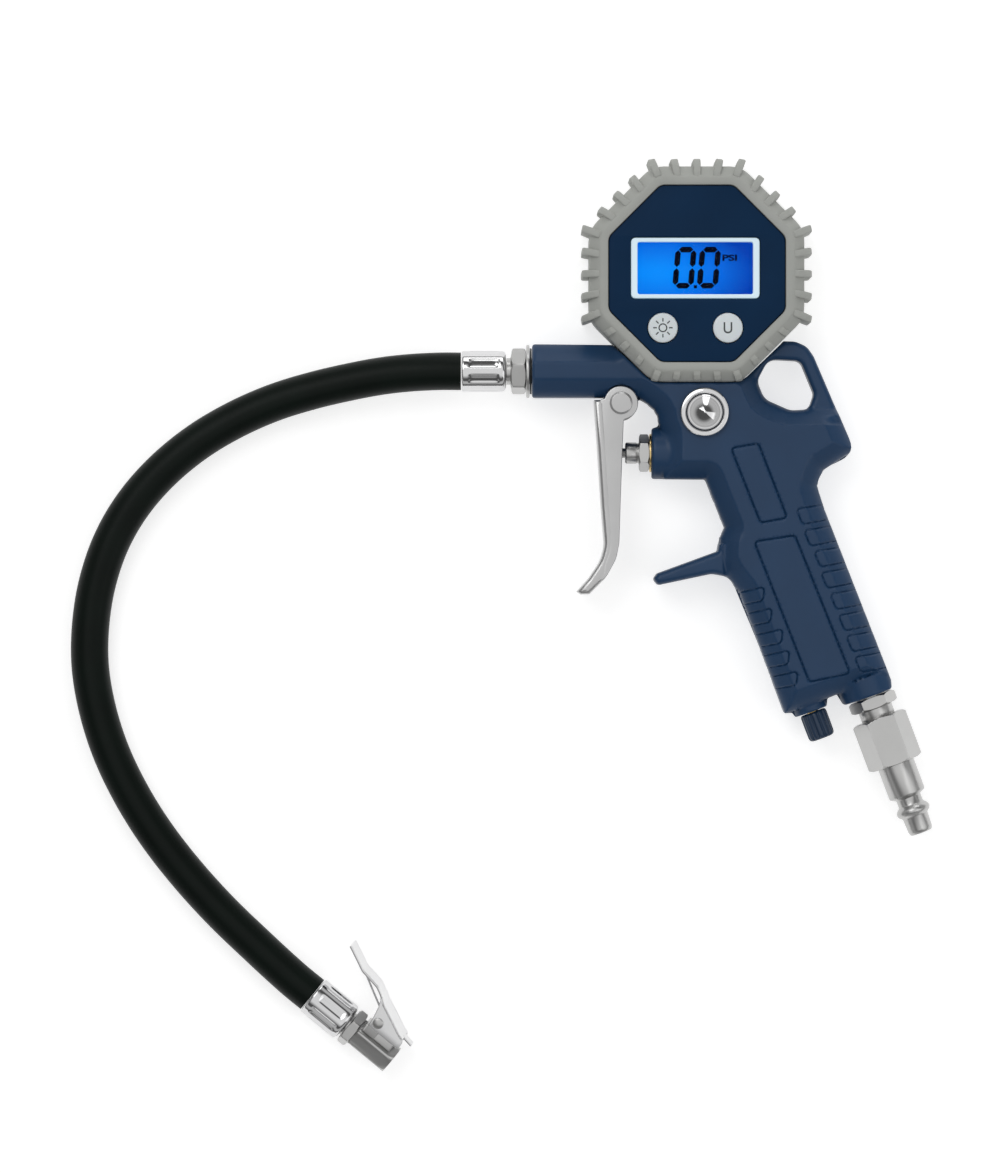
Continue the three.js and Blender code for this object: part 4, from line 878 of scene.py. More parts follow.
def resample(points, step, closed=False):
    """Points at an even pace along a line."""
    line = [np.array(p[:2], float) for p in points]
    if closed:
        line.append(line[0])
    out = []
    for a, b in zip(line, line[1:]):
        count = max(int(math.ceil(np.linalg.norm(b - a) / step)), 1)
        out += [tuple(a + (b - a) * k / count) for k in range(count)]
    if not closed:
        out.append(tuple(line[-1]))
    return out


def distance_to(points, lines):
    """Distance from each point to the nearest of the lines."""
    best = np.full(len(points), np.inf)
    for line in lines:
        line = np.array(line, float)
        for a, b in zip(line, line[1:]):
            way = b - a
            length = max(way @ way, 1e-12)
            t = np.clip(((points - a) @ way) / length, 0, 1)
            gap = points - a - t[:, None] * way
            best = np.minimum(best, np.hypot(gap[:, 0], gap[:, 1]))
    return best


def inside(points, outline):
    """Which points lie inside a closed outline."""
    found = np.zeros(len(points), bool)
    x, y = points[:, 0], points[:, 1]
    line = np.array(outline, float)
    for (x0, y0), (x1, y1) in zip(line, np.roll(line, -1, axis=0)):
        if y0 == y1:
            continue
        crosses = (y0 > y) != (y1 > y)
        found ^= crosses & (x < (x1 - x0) * (y - y0) / (y1 - y0) + x0)
    return found


def smooth_step(t):
    t = np.clip(t, 0, 1)
    return t * t * (3 - 2 * t)


def blend_up(a, b, width):
    """The higher of two heights, with a fillet where they cross."""
    h = np.clip(width - np.abs(a - b), 0, None) / width
    return np.maximum(a, b) + h * h * width / 4


def round_off(distance, width, drop):
    """How far a rounded edge has fallen at a distance from it."""
    t = np.clip(1 - distance / width, 0, 1)
    return drop * (1 - np.sqrt(np.clip(1 - t**2.2, 0, 1)))


def chamfer_off(distance, width, drop):
    """How far a bevel has fallen: mostly a straight slope, with a crease where it starts."""
    t = np.clip(1 - distance / width, 0, 1)
    return drop * (0.72 * t + 0.28 * (1 - np.sqrt(np.clip(1 - t**3, 0, 1))))


def dome(across, radius):
    """Half thickness of a round boss, by the distance from its axis."""
    return np.sqrt(np.clip(radius**2 - across**2, 0, None))


def slab_height(points, slab, from_rim):
    """Half thickness of the flat body with its bevel, and of the thinner hanging loop."""
    on_slab = inside(points, slab)
    on_loop = inside(points, [*LOOP_STEP, *LOOP_CORNERS])
    from_edge = np.where(on_slab, distance_to(points, SLAB_EDGES), 0)
    bevel = chamfer_off(from_edge, size("edge_width"), size("edge_drop"))
    sink = np.where(on_loop, np.clip(distance_to(points, [LOOP_STEP]) / LOOP_SLOPE, 0, 1), 0)
    outer = smooth_step(sink * 1.6)
    loop_edge = bevel * (1 - outer) + round_off(from_rim, *LOOP_EDGE) * outer
    loop = MIDDLE - LOOP_SINK * sink - loop_edge
    height = np.where(on_loop & (sink > 0), loop, MIDDLE - bevel)
    return np.where(on_slab | on_loop, height, 0)


def boss_heights(points, from_rim):
    """Half thickness of the valve boss, the finger spur and the two bosses at the grip's end."""
    x, y = points[:, 0], points[:, 1]
    from_valve = np.abs(y - VALVE_AXIS)
    nose = round_off(x + VALVE_BOSS_NOSE, *CRISP_EDGE)
    on_valve = (x < 3) & (from_valve < VALVE_BOSS_RADIUS)
    valve = np.where(on_valve, dome(from_valve, VALVE_BOSS_RADIUS) - nose, 0)
    on_spur = (y < -94) & (x < 16) & (y > -110)
    spur = np.where(on_spur, SPUR_HALF - round_off(from_rim, 2.2, 2.4), 0)
    spur = np.where(x > 9, spur - (x - 9) * 1.2, spur)
    turn = math.radians(180 + GRIP_LEAN)
    dx, dy = x - GRIP_PLACE[0], y - GRIP_PLACE[1]
    across = dx * math.cos(turn) + dy * math.sin(turn)
    down = dy * math.cos(turn) - dx * math.sin(turn)
    end_round = round_off(from_rim, 0.8, 0.8)
    inlet = np.where(down > -7, dome(across, INLET_BOSS_RADIUS) - end_round, 0)
    knob = np.where(down > -7, dome(across - KNOB_OFFSET, KNOB_BOSS_RADIUS) - end_round, 0)
    return valve, spur, inlet, knob


def engraving(points):
    """Height of the grip's raised pads, less the depth of the lines round them and round the panels."""
    depth = size("groove_depth")
    groove = 1 - smooth_step(distance_to(points, panel_loops()) / 0.5)
    pads = raised_pads()
    on_pad = np.any([inside(points, pad) for pad in pads], axis=0)
    edge = distance_to(points, pads)
    rise = np.where(on_pad, smooth_step(edge / 0.5), 0)
    line = 1 - smooth_step(edge / 0.48)
    raised = size("pad_height") * 0.55 * rise - depth * 0.9 * line * np.where(on_pad, 0.7, 1)
    return raised - depth * groove


def casting_height(points, slab, soft_edges, hard_edges):
    """Half thickness of the casting at each point of its side view."""
    from_rim = distance_to(points, soft_edges)
    height = slab_height(points, slab, from_rim)
    for boss in boss_heights(points, from_rim):
        height = np.where(boss > 0, blend_up(height, boss, size("blend")), height)
    from_pivot = np.hypot(points[:, 0] - PIVOT[0], points[:, 1] - PIVOT[1])
    height = np.where(from_pivot < LUG_POCKET, np.minimum(height, LUG_HALF), height)
    height = np.where(from_pivot < LUG_RADIUS, LUG_HALF, height)
    height -= round_off(distance_to(points, hard_edges), *CRISP_EDGE)
    return np.clip(height + engraving(points), 0.4, MIDDLE)


def feature_points(lines, offsets, step):
    """Rows of points alongside lines, so that narrow details keep their shape."""
    out = []
    for line in lines:
        line = np.array(resample(line, step), float)
        way = np.gradient(line, axis=0)
        way /= np.maximum(np.linalg.norm(way, axis=1), 1e-9)[:, None]
        side = np.stack([-way[:, 1], way[:, 0]], axis=1)
        out += [line + side * offset for offset in offsets]
    return np.concatenate(out)


def both_ways(offsets):
    """The offsets on both sides of a line."""
    return [*offsets, *(-offset for offset in offsets)]


def thin_out(points, gap):
    """Drops points that crowd another one."""
    kept, cells = [], set()
    for p in points:
        cell = (round(p[0] / gap), round(p[1] / gap))
        if cell not in cells:
            cells.add(cell)
            kept.append(p)
    return np.array(kept)


def runs_off(ring, lines):
    """The stretches of a ring that don't lie along the lines."""
    runs, run = [], []
    for point, on_line in zip(ring, distance_to(np.array(ring), lines) < 0.25):
        if not on_line:
            run.append(point)
            continue
        if len(run) > 1:
            runs.append(run)
        run = []
    return [*runs, run] if len(run) > 1 else runs


def casting_points(outline, hole):
    """Points of the side view: rows along the rim and the details, and an even field between them."""
    rings = [[*outline, outline[0]], [*hole, hole[0]]]
    details = panel_loops() + raised_pads()
    pocket = [*circle(LUG_POCKET, PIVOT, 48), (PIVOT[0] + LUG_POCKET, PIVOT[1])]
    across, along = np.meshgrid(np.arange(-58, 80, 0.9), np.arange(-158, -22, 0.9))
    field = np.stack([across.ravel(), along.ravel()], axis=1)
    rows = [
        feature_points([pocket], (-0.12, 0.12), 0.6),
        feature_points(details, (-0.55, -0.4, -0.2, 0, 0.2, 0.4, 0.55), 0.5),
        feature_points(rings, both_ways((0.12, 0.4, 0.8, 1.3, 1.9)), 0.8),
        feature_points([LOOP_STEP], (-6.3, -6, -5.7, -0.3, 0, 0.3), 0.8),
        feature_points(SLAB_EDGES, (0.1, 0.35, 0.8, 1.4, 2.1, 3, 4, 5.2, 6.4), 0.9),
        field[distance_to(field, details) >= 0.9],
    ]
    points = np.concatenate(rows)
    points = points[inside(points, outline) & ~inside(points, hole)]
    points = points[distance_to(points, rings) > 0.1]
    return thin_out(points, 0.24)


def ring_edges(first, count):
    """The edges that join a ring's points in order."""
    return [(first + i, first + (i + 1) % count) for i in range(count)]


def casting_side():
    """The side view as triangles, with the half thickness at each of its points."""
    arc = cradle_arc()
    corners = [(x, y) for x, y, _ in CASTING_OUTLINE] + arc
    radii = [r for _, _, r in CASTING_OUTLINE] + [0] * len(arc)
    outline = resample(soften(corners, radii, 6, closed=True), 0.7, closed=True)
    hole = soften([p[:2] for p in HOOK_HOLE], [p[2] for p in HOOK_HOLE], 8, closed=True)
    hole = resample(hole, 0.6, closed=True)
    hard_edges = [resample(arc, 0.7), BARREL_END]
    soft_edges = [*runs_off([*outline, outline[0]], hard_edges), [*hole, hole[0]]]
    slab = [SLAB_TOP[1], *SLAB_FRONT, *SLAB_REAR[1:], SLAB_LOOP[1], *SLAB_SHOULDER, *arc, SLAB_TOP[0]]
    every = np.concatenate([np.array(outline + hole), casting_points(outline, hole)])
    edges = ring_edges(0, len(outline)) + ring_edges(len(outline), len(hole))
    found = delaunay_2d_cdt([Vector(p) for p in every], edges, [], 0, 1e-6)
    flat = np.array([tuple(p) for p in found[0]])
    triangles = np.array([tuple(t) for t in found[2] if len(t) == 3])
    middle = flat[triangles].mean(axis=1)
    triangles = triangles[inside(middle, outline) & ~inside(middle, hole)]
    return flat, triangles, casting_height(flat, slab, soft_edges, hard_edges)


def casting_shape():
    """The side view raised on both sides of the middle and closed along its rim."""
    flat, triangles, height = casting_side()
    count = len(flat)
    near = [(p[0], p[1], MIDDLE + h) for p, h in zip(flat, height)]
    far = [(p[0], p[1], MIDDLE - h) for p, h in zip(flat, height)]
    faces = [tuple(t) for t in triangles]
    faces += [(t[0] + count, t[2] + count, t[1] + count) for t in triangles]
    rim_edges = {}
    for t in triangles:
        for a, b in ((t[0], t[1]), (t[1], t[2]), (t[2], t[0])):
            key = (min(a, b), max(a, b))
            rim_edges[key] = None if key in rim_edges else (a, b)
    faces += [(b, a, a + count, b + count) for a, b in filter(None, rim_edges.values())]
    return near + far, faces


class INFLATOR_OT_casting(bpy.types.Operator):
    """Make the body casting with its grip pads, engraved panels, hanging loop and finger spur"""

    bl_idname = "inflator.casting"
    bl_label = "Body casting"

    def execute(self, context):
        coat = finish(powder_coat, finishes().casting)
        piece("body", casting_shape(), GAUGE, coat, ROOT, ["body_casting"], sharp=48)
        return {"FINISHED"}


# ---- Trigger ----


# The trigger's edges from the side: down the finger's side, and up the other.
TRIGGER_LEFT = [
    (-35.7, -43.8), (-34.5, -60.5), (-33.2, -81.2), (-32.1, -94.4), (-33.5, -99.9), (-37.7, -106.2),
    (-41.8, -110.6),
]
TRIGGER_RIGHT = [
    (-37.3, -111.5), (-31.4, -105.5), (-28, -99.2), (-26.9, -93.7), (-26.5, -81.2), (-25.8, -60.5),
    (-25.4, -51.2),
]
TRIGGER_TIP = (-40.3, -111.6)
TRIGGER_HALF_WIDTH = 10.2
TRIGGER_DISC_RADIUS = 5.95
CHEEK_THICKNESS = 2.1


def trigger_shape():
    """Two cheeks on a rounded web along the finger's side, bent forward at the tip."""
    left = soften(TRIGGER_LEFT, 12, 5)
    right = soften(TRIGGER_RIGHT, 12, 5)
    web_back = [(x + 3.6, y) for x, y in left if y > -101]
    web = soften([*left, TRIGGER_TIP], 0, 1) + right[:6] + web_back[::-1]
    turns = [math.radians(angle) for angle in range(-80, 172, 7)]
    r = TRIGGER_DISC_RADIUS
    disc = [(PIVOT[0] + r * math.cos(t), PIVOT[1] + r * math.sin(t)) for t in turns]
    inner = [(x + 2, y) for x, y in left]
    outline = [*inner[:-1], *right[1:], *disc]
    lows = (MIDDLE + 8, MIDDLE - 10.1)
    cheeks = [plate([outline], low, low + CHEEK_THICKNESS, 0.4) for low in lows]
    return together(plate([web], MIDDLE - TRIGGER_HALF_WIDTH, MIDDLE + TRIGGER_HALF_WIDTH, 1.5, 5), *cheeks)


class INFLATOR_OT_trigger(bpy.types.Operator):
    """Make the trigger, its pin and the pin's clip"""

    bl_idname = "inflator.trigger"
    bl_label = "Trigger"

    def execute(self, context):
        plating = finish(satin_lever, finishes().lever)
        steel = finish(spring_wire)
        lever = trigger_shape()
        piece("trigger_lever", lever, GAUGE, plating, "trigger_lever", ["trigger"], 40)
        pin = [(0, -11.4), (2, -11.4), (2, 10.3), (4, 10.3), (3.9, 10.75), (3.3, 11.1), (0, 11.1)]
        pin = lathe(soften(pin, 0.2))
        piece("pivot_pin", pin, TRIGGER_PIN, plating, ROOT, ["trigger_pin"])
        clip = flat_ring(4, 2.2, -11.1, -10.4, 0.15)
        piece("pivot_clip", clip, TRIGGER_PIN, steel, ROOT, ["trigger_pin_clip"])
        return {"FINISHED"}


# ---- Trigger valve ----


class INFLATOR_OT_valve(bpy.types.Operator):
    """Make the valve's bonnet, washer and push rod"""

    bl_idname = "inflator.valve"
    bl_label = "Trigger valve"

    def execute(self, context):
        nickel = finish(bright_nickel)
        nose = [
            (1.98, -24.7), (3.3, -24.7), (3.75, -24.2), (3.75, -21), (3.5, -20.6), (3.5, -20.1),
            (4.4, -19.95),
        ]
        bonnet = hex_turned(nose, 11.5, -19.9, -16.4, [(5.3, -16.38), (5.3, 0), (1.98, 0)])
        piece("bonnet", bonnet, VALVE, nickel, ROOT, ["valve_bonnet"])
        washer = flat_ring(6.75, 5.7, -16.25, -15.65, 0.15)
        piece("bonnet_washer", washer, VALVE, finish(turned_brass), ROOT, ["valve_washer"])
        rod = [
            (0, -32.3), (1.1, -32.2), (1.5, -31.7), (1.7, -31), (1.7, 0), (1, 0), (1, 2.9),
            (4, 2.9), (4, 3.9), (1.6, 3.9), (1.6, 6.9), (0, 6.9),
        ]
        piece("push_rod", lathe(rod, 48), VALVE, nickel, "push_valve", ["valve_pushrod"])
        return {"FINISHED"}


# ---- Bleed button ----


class INFLATOR_OT_bleed(bpy.types.Operator):
    """Make the bleed button's bezel and its polished cone"""

    bl_idname = "inflator.bleed"
    bl_label = "Bleed button"

    def execute(self, context):
        chrome = finish(bright_chrome)
        bezel = [
            (5, -5.2), (5, -1.6), (7.3, -1.6), (7.3, 0.3), (8.5, 0.3), (8.5, 1.5), (8.15, 1.95), (7.3, 2.1),
            (6.9, 2.1), (6.5, 1.8), (6.5, -0.4), (2.2, -0.4), (2.2, -5.2),
        ]
        bezel = lathe(soften(bezel, 0.16, 3, closed=True), 128)
        piece("bleed_ring", bezel, BLEED, chrome, ROOT, ["bleed_bezel"])
        cone = [
            (0, -7.8), (1.9, -7.8), (1.9, 3.2), (4.6, 3.2), (4.6, 1.7), (6.1, 1.7), (6.1, 2.35), (5.75, 2.6),
            (5.4, 2.62), (5.1, 2.85), (0.5, 5.8), (0, 5.92),
        ]
        cone = lathe(cone, 128)
        piece("bleed_cone", cone, BLEED, chrome, "bleed_plunger", ["bleed_button"], 20)
        return {"FINISHED"}


# ---- Inlet ----


class INFLATOR_OT_inlet(bpy.types.Operator):
    """Make the inlet bushing, the air plug and the flow knob under the grip"""

    bl_idname = "inflator.inlet"
    bl_label = "Inlet"

    def execute(self, context):
        nickel = finish(bright_nickel)
        neck = [
            (6.4, 4.32), (6.1, 4.6), (6.1, 7.4), (5.9, 7.85), (5.6, 7.85), (5.6, 17), (3.2, 17),
        ]
        bushing = hex_turned([(3.2, -12), (6, -12), (6, 0.25)], 14.8, 0.3, 4.3, neck)
        piece("bushing", bushing, GRIP, nickel, ROOT, ["inlet_bushing"])
        nipple = [
            (7, 25.22), (6.55, 25.4), (6.55, 36.3), (6.35, 36.7),
            (4.6, 37.6), (4.45, 37.8), (4.45, 40.2), (4.7, 40.6), (5.5, 41.3),
            (5.9, 42), (6, 42.55), (5.9, 43.1), (5.5, 43.8), (4.8, 44.3), (4.55, 44.7), (4.35, 49.5),
            (4.05, 50.4), (3.6, 50.85), (3.1, 50.9), (2.6, 50.6),
        ]
        plug = hex_turned([(2.6, 18), (5.9, 18), (5.9, 8)], 17, 8, 25.2, nipple)
        piece("quick_plug", plug, GRIP, nickel, ROOT, ["air_plug"])
        self.flow_knob()
        return {"FINISHED"}

    def flow_knob(self):
        def fluted(turn, radius, height):
            groove = (0.5 - 0.5 * math.cos(12 * turn)) ** 3
            return radius - (0.55 * groove if radius > 3.9 else 0)

        knob = [
            (0, 4.9), (2.2, 4.9), (2.2, -1.9), (4.1, -1.9), (4.5, -1.6), (4.7, -1), (4.7, 3), (4.65, 6.2),
            (4.5, 7), (4.15, 7.5), (3.5, 7.8), (0, 7.9),
        ]
        place = GRIP @ Matrix.Translation((20.9, 0, 0))
        navy = finish(knob_plastic)
        knob = lathe(knob, 180, fluted)
        piece("fluted_knob", knob, place, navy, "flow_control", ["flow_knob"], 60)


# ---- Hose ends ----


def crimped(turn, radius, height, foot):
    """Lengthwise dents that a crimping tool leaves in a ferrule."""
    if radius < 6.8:
        return radius
    around = abs(((turn / (2 * math.pi) * 8) % 1) - 0.5) * 2
    along = abs(height - foot - 8.1) / 5.4
    dent = max(0.0, 1 - (around / 0.55) ** 6) * max(0.0, 1 - along**8)
    return radius - 0.4 * dent


def ferrule_shape(foot):
    """A crimped sleeve that starts at the hose's end and closes in over the fitting."""
    crimp = [(7.2, 0.6 + 13.9 * k / 30) for k in range(1, 31)]
    rows = [
        (6.3, 0.3), (6.9, 0.3), (7.2, 0.6), *crimp, (7.05, 15.1), (6.6, 15.6), (5.8, 15.85), (3.6, 15.9),
        (3.6, 15), (6.3, 14.4),
    ]
    rows = [(radius, foot + height) for radius, height in rows]
    return lathe(rows, 160, lambda turn, radius, height: crimped(turn, radius, height, foot))


class INFLATOR_OT_hose_ends(bpy.types.Operator):
    """Make the seal, washer, hexagon fitting and ferrule at the barrel"""

    bl_idname = "inflator.hose_ends"
    bl_label = "Hose fitting"

    def execute(self, context):
        nickel, chrome = finish(bright_nickel), finish(bright_chrome)
        seal = flat_ring(8.05, 4.8, -58.05, -57.45, 0.2)
        piece("end_seal", seal, BARREL, finish(seal_rubber), ROOT, ["barrel_seal"])
        washer = flat_ring(9.3, 4.8, -59.35, -58.2, 0.3)
        piece("end_washer", washer, BARREL, nickel, ROOT, ["hose_washer"])
        barb = [(2, -80.2), (3.3, -80.2), (3.3, -66.2), (4.7, -66.15), (4.7, -64.9), (6.2, -64.55)]
        stem = [(6.4, -59.48), (4.5, -59.4), (4.5, -45.3), (2, -45.3)]
        fitting = hex_turned(barb, 14.3, -64.5, -59.5, stem, lean=15)
        piece("hex_fitting", fitting, BARREL, nickel, ROOT, ["hose_fitting"])
        ferrule = ferrule_shape(HOSE_EXIT[0])
        piece("crimp_ferrule", ferrule, BARREL, chrome, ROOT, ["ferrule_gun"], 45)
        return {"FINISHED"}


# ---- Tyre chuck. Its own frame has +Y along the axis and -X towards the lever. ----


def chuck_side(points):
    """Side-view points, (distance from the hose, height above the axis), in the chuck's frame."""
    return [(-height, along) for along, height in points]


def lever_shape():
    """Pressed sheet with two cheeks, a thumb tab that ends in a curl, and a tooth for the thread."""
    top = [(21.7, 15.3), (27, 13), (32.4, 10.5), (34.4, 9.7)]
    cheek = [*top, (35, 8.3), (35, 6.05), (33.5, 6), (21.9, 6), (21.5, 8.6), (20.4, 13.5), (19.2, 16.2)]
    outline = soften(chuck_side(cheek), 0.8, 4, closed=True)
    cheeks = [plate([outline], low, low + 0.9, 0.2) for low in (-7, 6.1)]
    line = [(19.5, 16.8), (21.7, 15.3), (32.4, 10.5), (34.2, 9.95)]
    back = sheet_along(soften(line, 2, 4), 7, 0.9)
    tab = [(21.7, 15.3), (18.7, 17.4), (15.9, 18.8), (12.3, 19.4), (8.5, 19.9), (4.7, 21.7), (-0.4, 24.05)]
    tab = sheet_along(soften(tab, 4, 5), 5.5, 0.9)
    tooth = sheet_along([(32, 10.5), (34.2, 10), (38.05, 9.4)], 2.5, 0.8)
    jaw = sheet_along([(34, 9.6), (34.45, 8.6), (34.6, 4.6)], 2.5, 0.7)
    return together(*cheeks, back, tab, tooth, jaw)


def sheet_along(line, half_width, thickness):
    """A strip of sheet whose upper face follows a side-view line, with rounded edges."""
    points = [Vector((-height, along)) for along, height in line]
    rings = []
    for i, point in enumerate(points):
        way = (points[min(i + 1, len(points) - 1)] - points[max(i - 1, 0)]).normalized()
        inward = Vector((-way.y, way.x))
        if inward.x < 0:
            inward = -inward
        ring = []
        for side, depth in (
            (-1, 0.25), (-0.97, 0), (0.97, 0), (1, 0.25), (1, 0.75), (0.97, 1), (-0.97, 1), (-1, 0.75)
        ):
            place = point + inward * depth * thickness
            ring.append((place.x, place.y, side * half_width))
        rings.append(ring)
    return loft(rings)


CHUCK_FLAT = 75  # direction of one of the chuck body's flats, in degrees
CHUCK_FLATS_HALF = 5.15
LEVER_ALONG, LEVER_HEIGHT = 24, 8.8  # where the lever's pin is, from the hose and above the axis
COIL_RADIUS = 1.75


def chuck_body_shape():
    """The barrel that goes over a tyre valve, with two ears for the lever's pin and a flat saddle."""

    def flattened(turn, radius, height):
        offset = (turn - math.radians(CHUCK_FLAT - 30)) % (math.pi / 3) - math.pi / 6
        return min(radius, CHUCK_FLATS_HALF / math.cos(offset)) if radius > 5 else radius

    rows = [(3.4, 20.15), (5.3, 20.15), (5.8, 20.6), (5.8, 33.6), (5.6, 35.4), (5.2, 36.05), (4.5, 36.05)]
    rows += [(4.2, 35.7), (4.2, 27.85), (1.6, 27.85), (1.6, 26.2), (3.4, 26.2)]
    barrel = lathe(rows, 128, flattened)
    ear = [(21.8, 3), (26.4, 3), (26.4, 10), (25.4, 11.2), (22.8, 11.2), (21.8, 10)]
    ear = chuck_side(soften(ear, 0.8, 4, closed=True))
    ears = [plate([ear], low, low + 2.7, 0.3) for low in (-5.7, 3)]
    saddle = [(21, 3), (33.2, 3), (33.2, 5.5), (32.7, 5.9), (21.5, 5.9), (21, 5.4)]
    saddle = chuck_side(soften(saddle, 0.3, 3, closed=True))
    return together(barrel, *ears, plate([saddle], -5.55, 5.55, 0.35))


class INFLATOR_OT_chuck(bpy.types.Operator):
    """Make the clip-on tyre chuck at the end of the hose"""

    bl_idname = "inflator.chuck"
    bl_label = "Tyre chuck"

    def execute(self, context):
        nickel, chrome, steel = finish(bright_nickel), finish(bright_chrome), finish(spring_wire)
        sleeve = ferrule_shape(0)
        barb = [(1.6, 2), (3.3, 2), (3.3, 16), (4.7, 16.05), (4.7, 16.55)]
        tail = hex_turned(barb, 12.4, 16.6, 20, [(3.2, 20.02), (3.2, 25.8), (1.6, 25.8)])
        rivet = [
            (0, -7.65), (1.6, -7.6), (1.9, -7.4), (1.9, -7.15), (1.2, -7.15), (1.2, 7.15), (1.9, 7.15),
            (1.9, 7.4), (1.6, 7.6), (0, 7.65),
        ]
        rivet = turned_over(lathe(rivet, 48), Matrix.Rotation(math.radians(90), 4, "X"))
        across = CHUCK @ Matrix.Translation((-LEVER_HEIGHT, LEVER_ALONG, 0))
        clip = "chuck_clip"
        on_hose = [
            piece("chuck_ferrule", sleeve, CHUCK, chrome, ROOT, ["ferrule_chuck"], 45),
            piece("chuck_collar", tail, CHUCK, nickel, ROOT, ["chuck_tail"]),
            piece("chuck_barrel", chuck_body_shape(), CHUCK, nickel, ROOT, ["chuck_body"]),
            piece("thumb_lever", lever_shape(), CHUCK, chrome, clip, ["chuck_lever"], 40),
            piece("lever_rivet", rivet, across, nickel, ROOT, ["chuck_lever_pin"]),
            piece("lever_spring", self.coil(), CHUCK, steel, clip, ["chuck_spring"], 60),
        ]
        size("hose_diameter") * MM
        return {"FINISHED"}

    def coil(self):
        """The torsion spring round the lever's pin: a long leg under the tab, three turns, a short leg."""
        points = [(-18.1, 8.9, -1.9)]
        turns = 3
        for i in range(turns * 20 + 1):
            angle = math.radians(205) - 2 * math.pi * i / 20
            drift = 3.8 * i / (turns * 20) - 1.9
            across, along = COIL_RADIUS * math.cos(angle), COIL_RADIUS * math.sin(angle)
            points.append((across - LEVER_HEIGHT, along + LEVER_ALONG, drift))
        points.append((-10, 29.5, 1.9))
        return wire(points, 0.35)


# ---- Gauge ----


TEETH_PER_SIDE = [5, 3, 5, 3, 5, 3, 5, 3]
PROUD_SIDES = 5
# Sections of a tooth, (distance from the gauge's axis, height), from its foot on the face round to its back.
PROUD_TOOTH = [
    (33.4, 28.75), (35.6, 28.5), (37.9, 27.4), (39.6, 25.7), (40.1, 24.3), (40.1, 1.8), (39, 0.4), (34, 0.4),
]
CRADLED_TOOTH = [
    (33.4, 28.75), (35.3, 28.3), (36.8, 26.9), (37.45, 25), (37.45, 2), (36.6, 0.6), (34, 0.6),
]
# Rows of the boot's section: (across flats, corner radius, height).
BOOT_ROWS = [
    (61.7, 4.2, 24.5), (61.7, 4.2, 28.3), (61.9, 4.3, 28.8), (62.5, 4.6, 29), (66.4, 6.4, 29),
    (67.4, 6.8, 28.85), (68.6, 7.4, 28.3), (73.6, 9.6, 25.6), (74.6, 9.9, 24.7), (75, 10, 23.6),
    (75, 10, 1.6), (74.6, 9.9, 0.6), (73.4, 9.6, 0), (57.4, 6.2, 0), (56.4, 6, 0.3), (56, 6, 1),
    (56, 6, 2.2), (65.4, 6, 2.2), (65.4, 6, 24.5),
]


def boot_teeth():
    """Teeth across every side; those in the cradle don't stand out beyond the boot."""
    rounding = size("tooth_round")
    shapes = []
    for side, count in enumerate(TEETH_PER_SIDE):
        section = PROUD_TOOTH if side < PROUD_SIDES else CRADLED_TOOTH
        for i in range(count):
            lean = math.atan((i - (count - 1) / 2) / 5)
            tooth = plate([soften(section, 1.2, 3, closed=True)], -1.3, 1.3, rounding, 3)
            verts, faces = turned_over(tooth, Matrix.Rotation(math.pi / 2, 4, "X"))
            reach = max(x for x, _ in section)
            stretched = [(x / math.cos(lean), y, z) for x, y, z in verts]
            leaned, _ = turned_over((stretched, faces), Matrix.Rotation(lean, 4, "Z"))
            trimmed = [(min(x, reach), y, z) for x, y, z in leaned]
            shapes.append(turned_over((trimmed, faces), Matrix.Rotation(side * math.pi / 4, 4, "Z")))
    return shapes


def boot_shape():
    """The rubber boot: eight-sided rings round its closed section."""
    rings = [[(x, y, z) for x, y in octagon(flats, corner)] for flats, corner, z in BOOT_ROWS]
    return loft(rings, closed=True)


def segments(x, low):
    """The lit segments of a slanted figure nought, each with pointed ends."""
    width, height, stroke, gap, slant = 7.4, 14.5, 1.95, 0.2, 0.09
    middle = height / 2

    def bar(start, end):
        (x0, y0), (x1, y1) = start, end
        way = Vector((x1 - x0, y1 - y0)).normalized()
        side = Vector((-way.y, way.x)) * stroke / 2
        a = Vector(start) + way * gap
        b = Vector(end) - way * gap
        inner = way * stroke / 2
        points = [a, a + inner - side, b - inner - side, b, b - inner + side, a + inner + side]
        return [(x + p.x + slant * p.y, low + p.y) for p in points]

    near, far = stroke / 2, width - stroke / 2
    foot, head = stroke / 2, height - stroke / 2
    pairs = [
        ((near, foot), (far, foot)), ((near, head), (far, head)),
        ((near, foot), (near, middle)), ((far, foot), (far, middle)),
        ((near, middle), (near, head)), ((far, middle), (far, head)),
    ]
    return [bar(a, b) for a, b in pairs]


def lettering(text, width, height, centre, low, high, weight=0.0):
    """Flat characters as thin solids of that overall size, centred on a place."""
    curve = bpy.data.curves.new("text", "FONT")
    curve.body = text
    curve.size = height * 1.4
    curve.offset = weight
    curve.align_x, curve.align_y = "CENTER", "CENTER"
    curve.extrude = (high - low) / 2
    holder = bpy.data.objects.new("text", curve)
    bpy.context.scene.collection.objects.link(holder)
    bpy.context.view_layer.update()
    mesh = bpy.data.meshes.new_from_object(holder.evaluated_get(bpy.context.evaluated_depsgraph_get()))
    verts = np.array([tuple(v.co) for v in mesh.vertices])
    faces = [tuple(p.vertices) for p in mesh.polygons]
    bpy.data.objects.remove(holder)
    bpy.data.curves.remove(curve)
    bpy.data.meshes.remove(mesh)
    middle = (verts.max(0) + verts.min(0)) / 2
    span = verts.max(0) - verts.min(0)
    verts = (verts - middle) * (width / span[0], height / span[1], 1) + (*centre, (high + low) / 2)
    return [tuple(v) for v in verts], faces


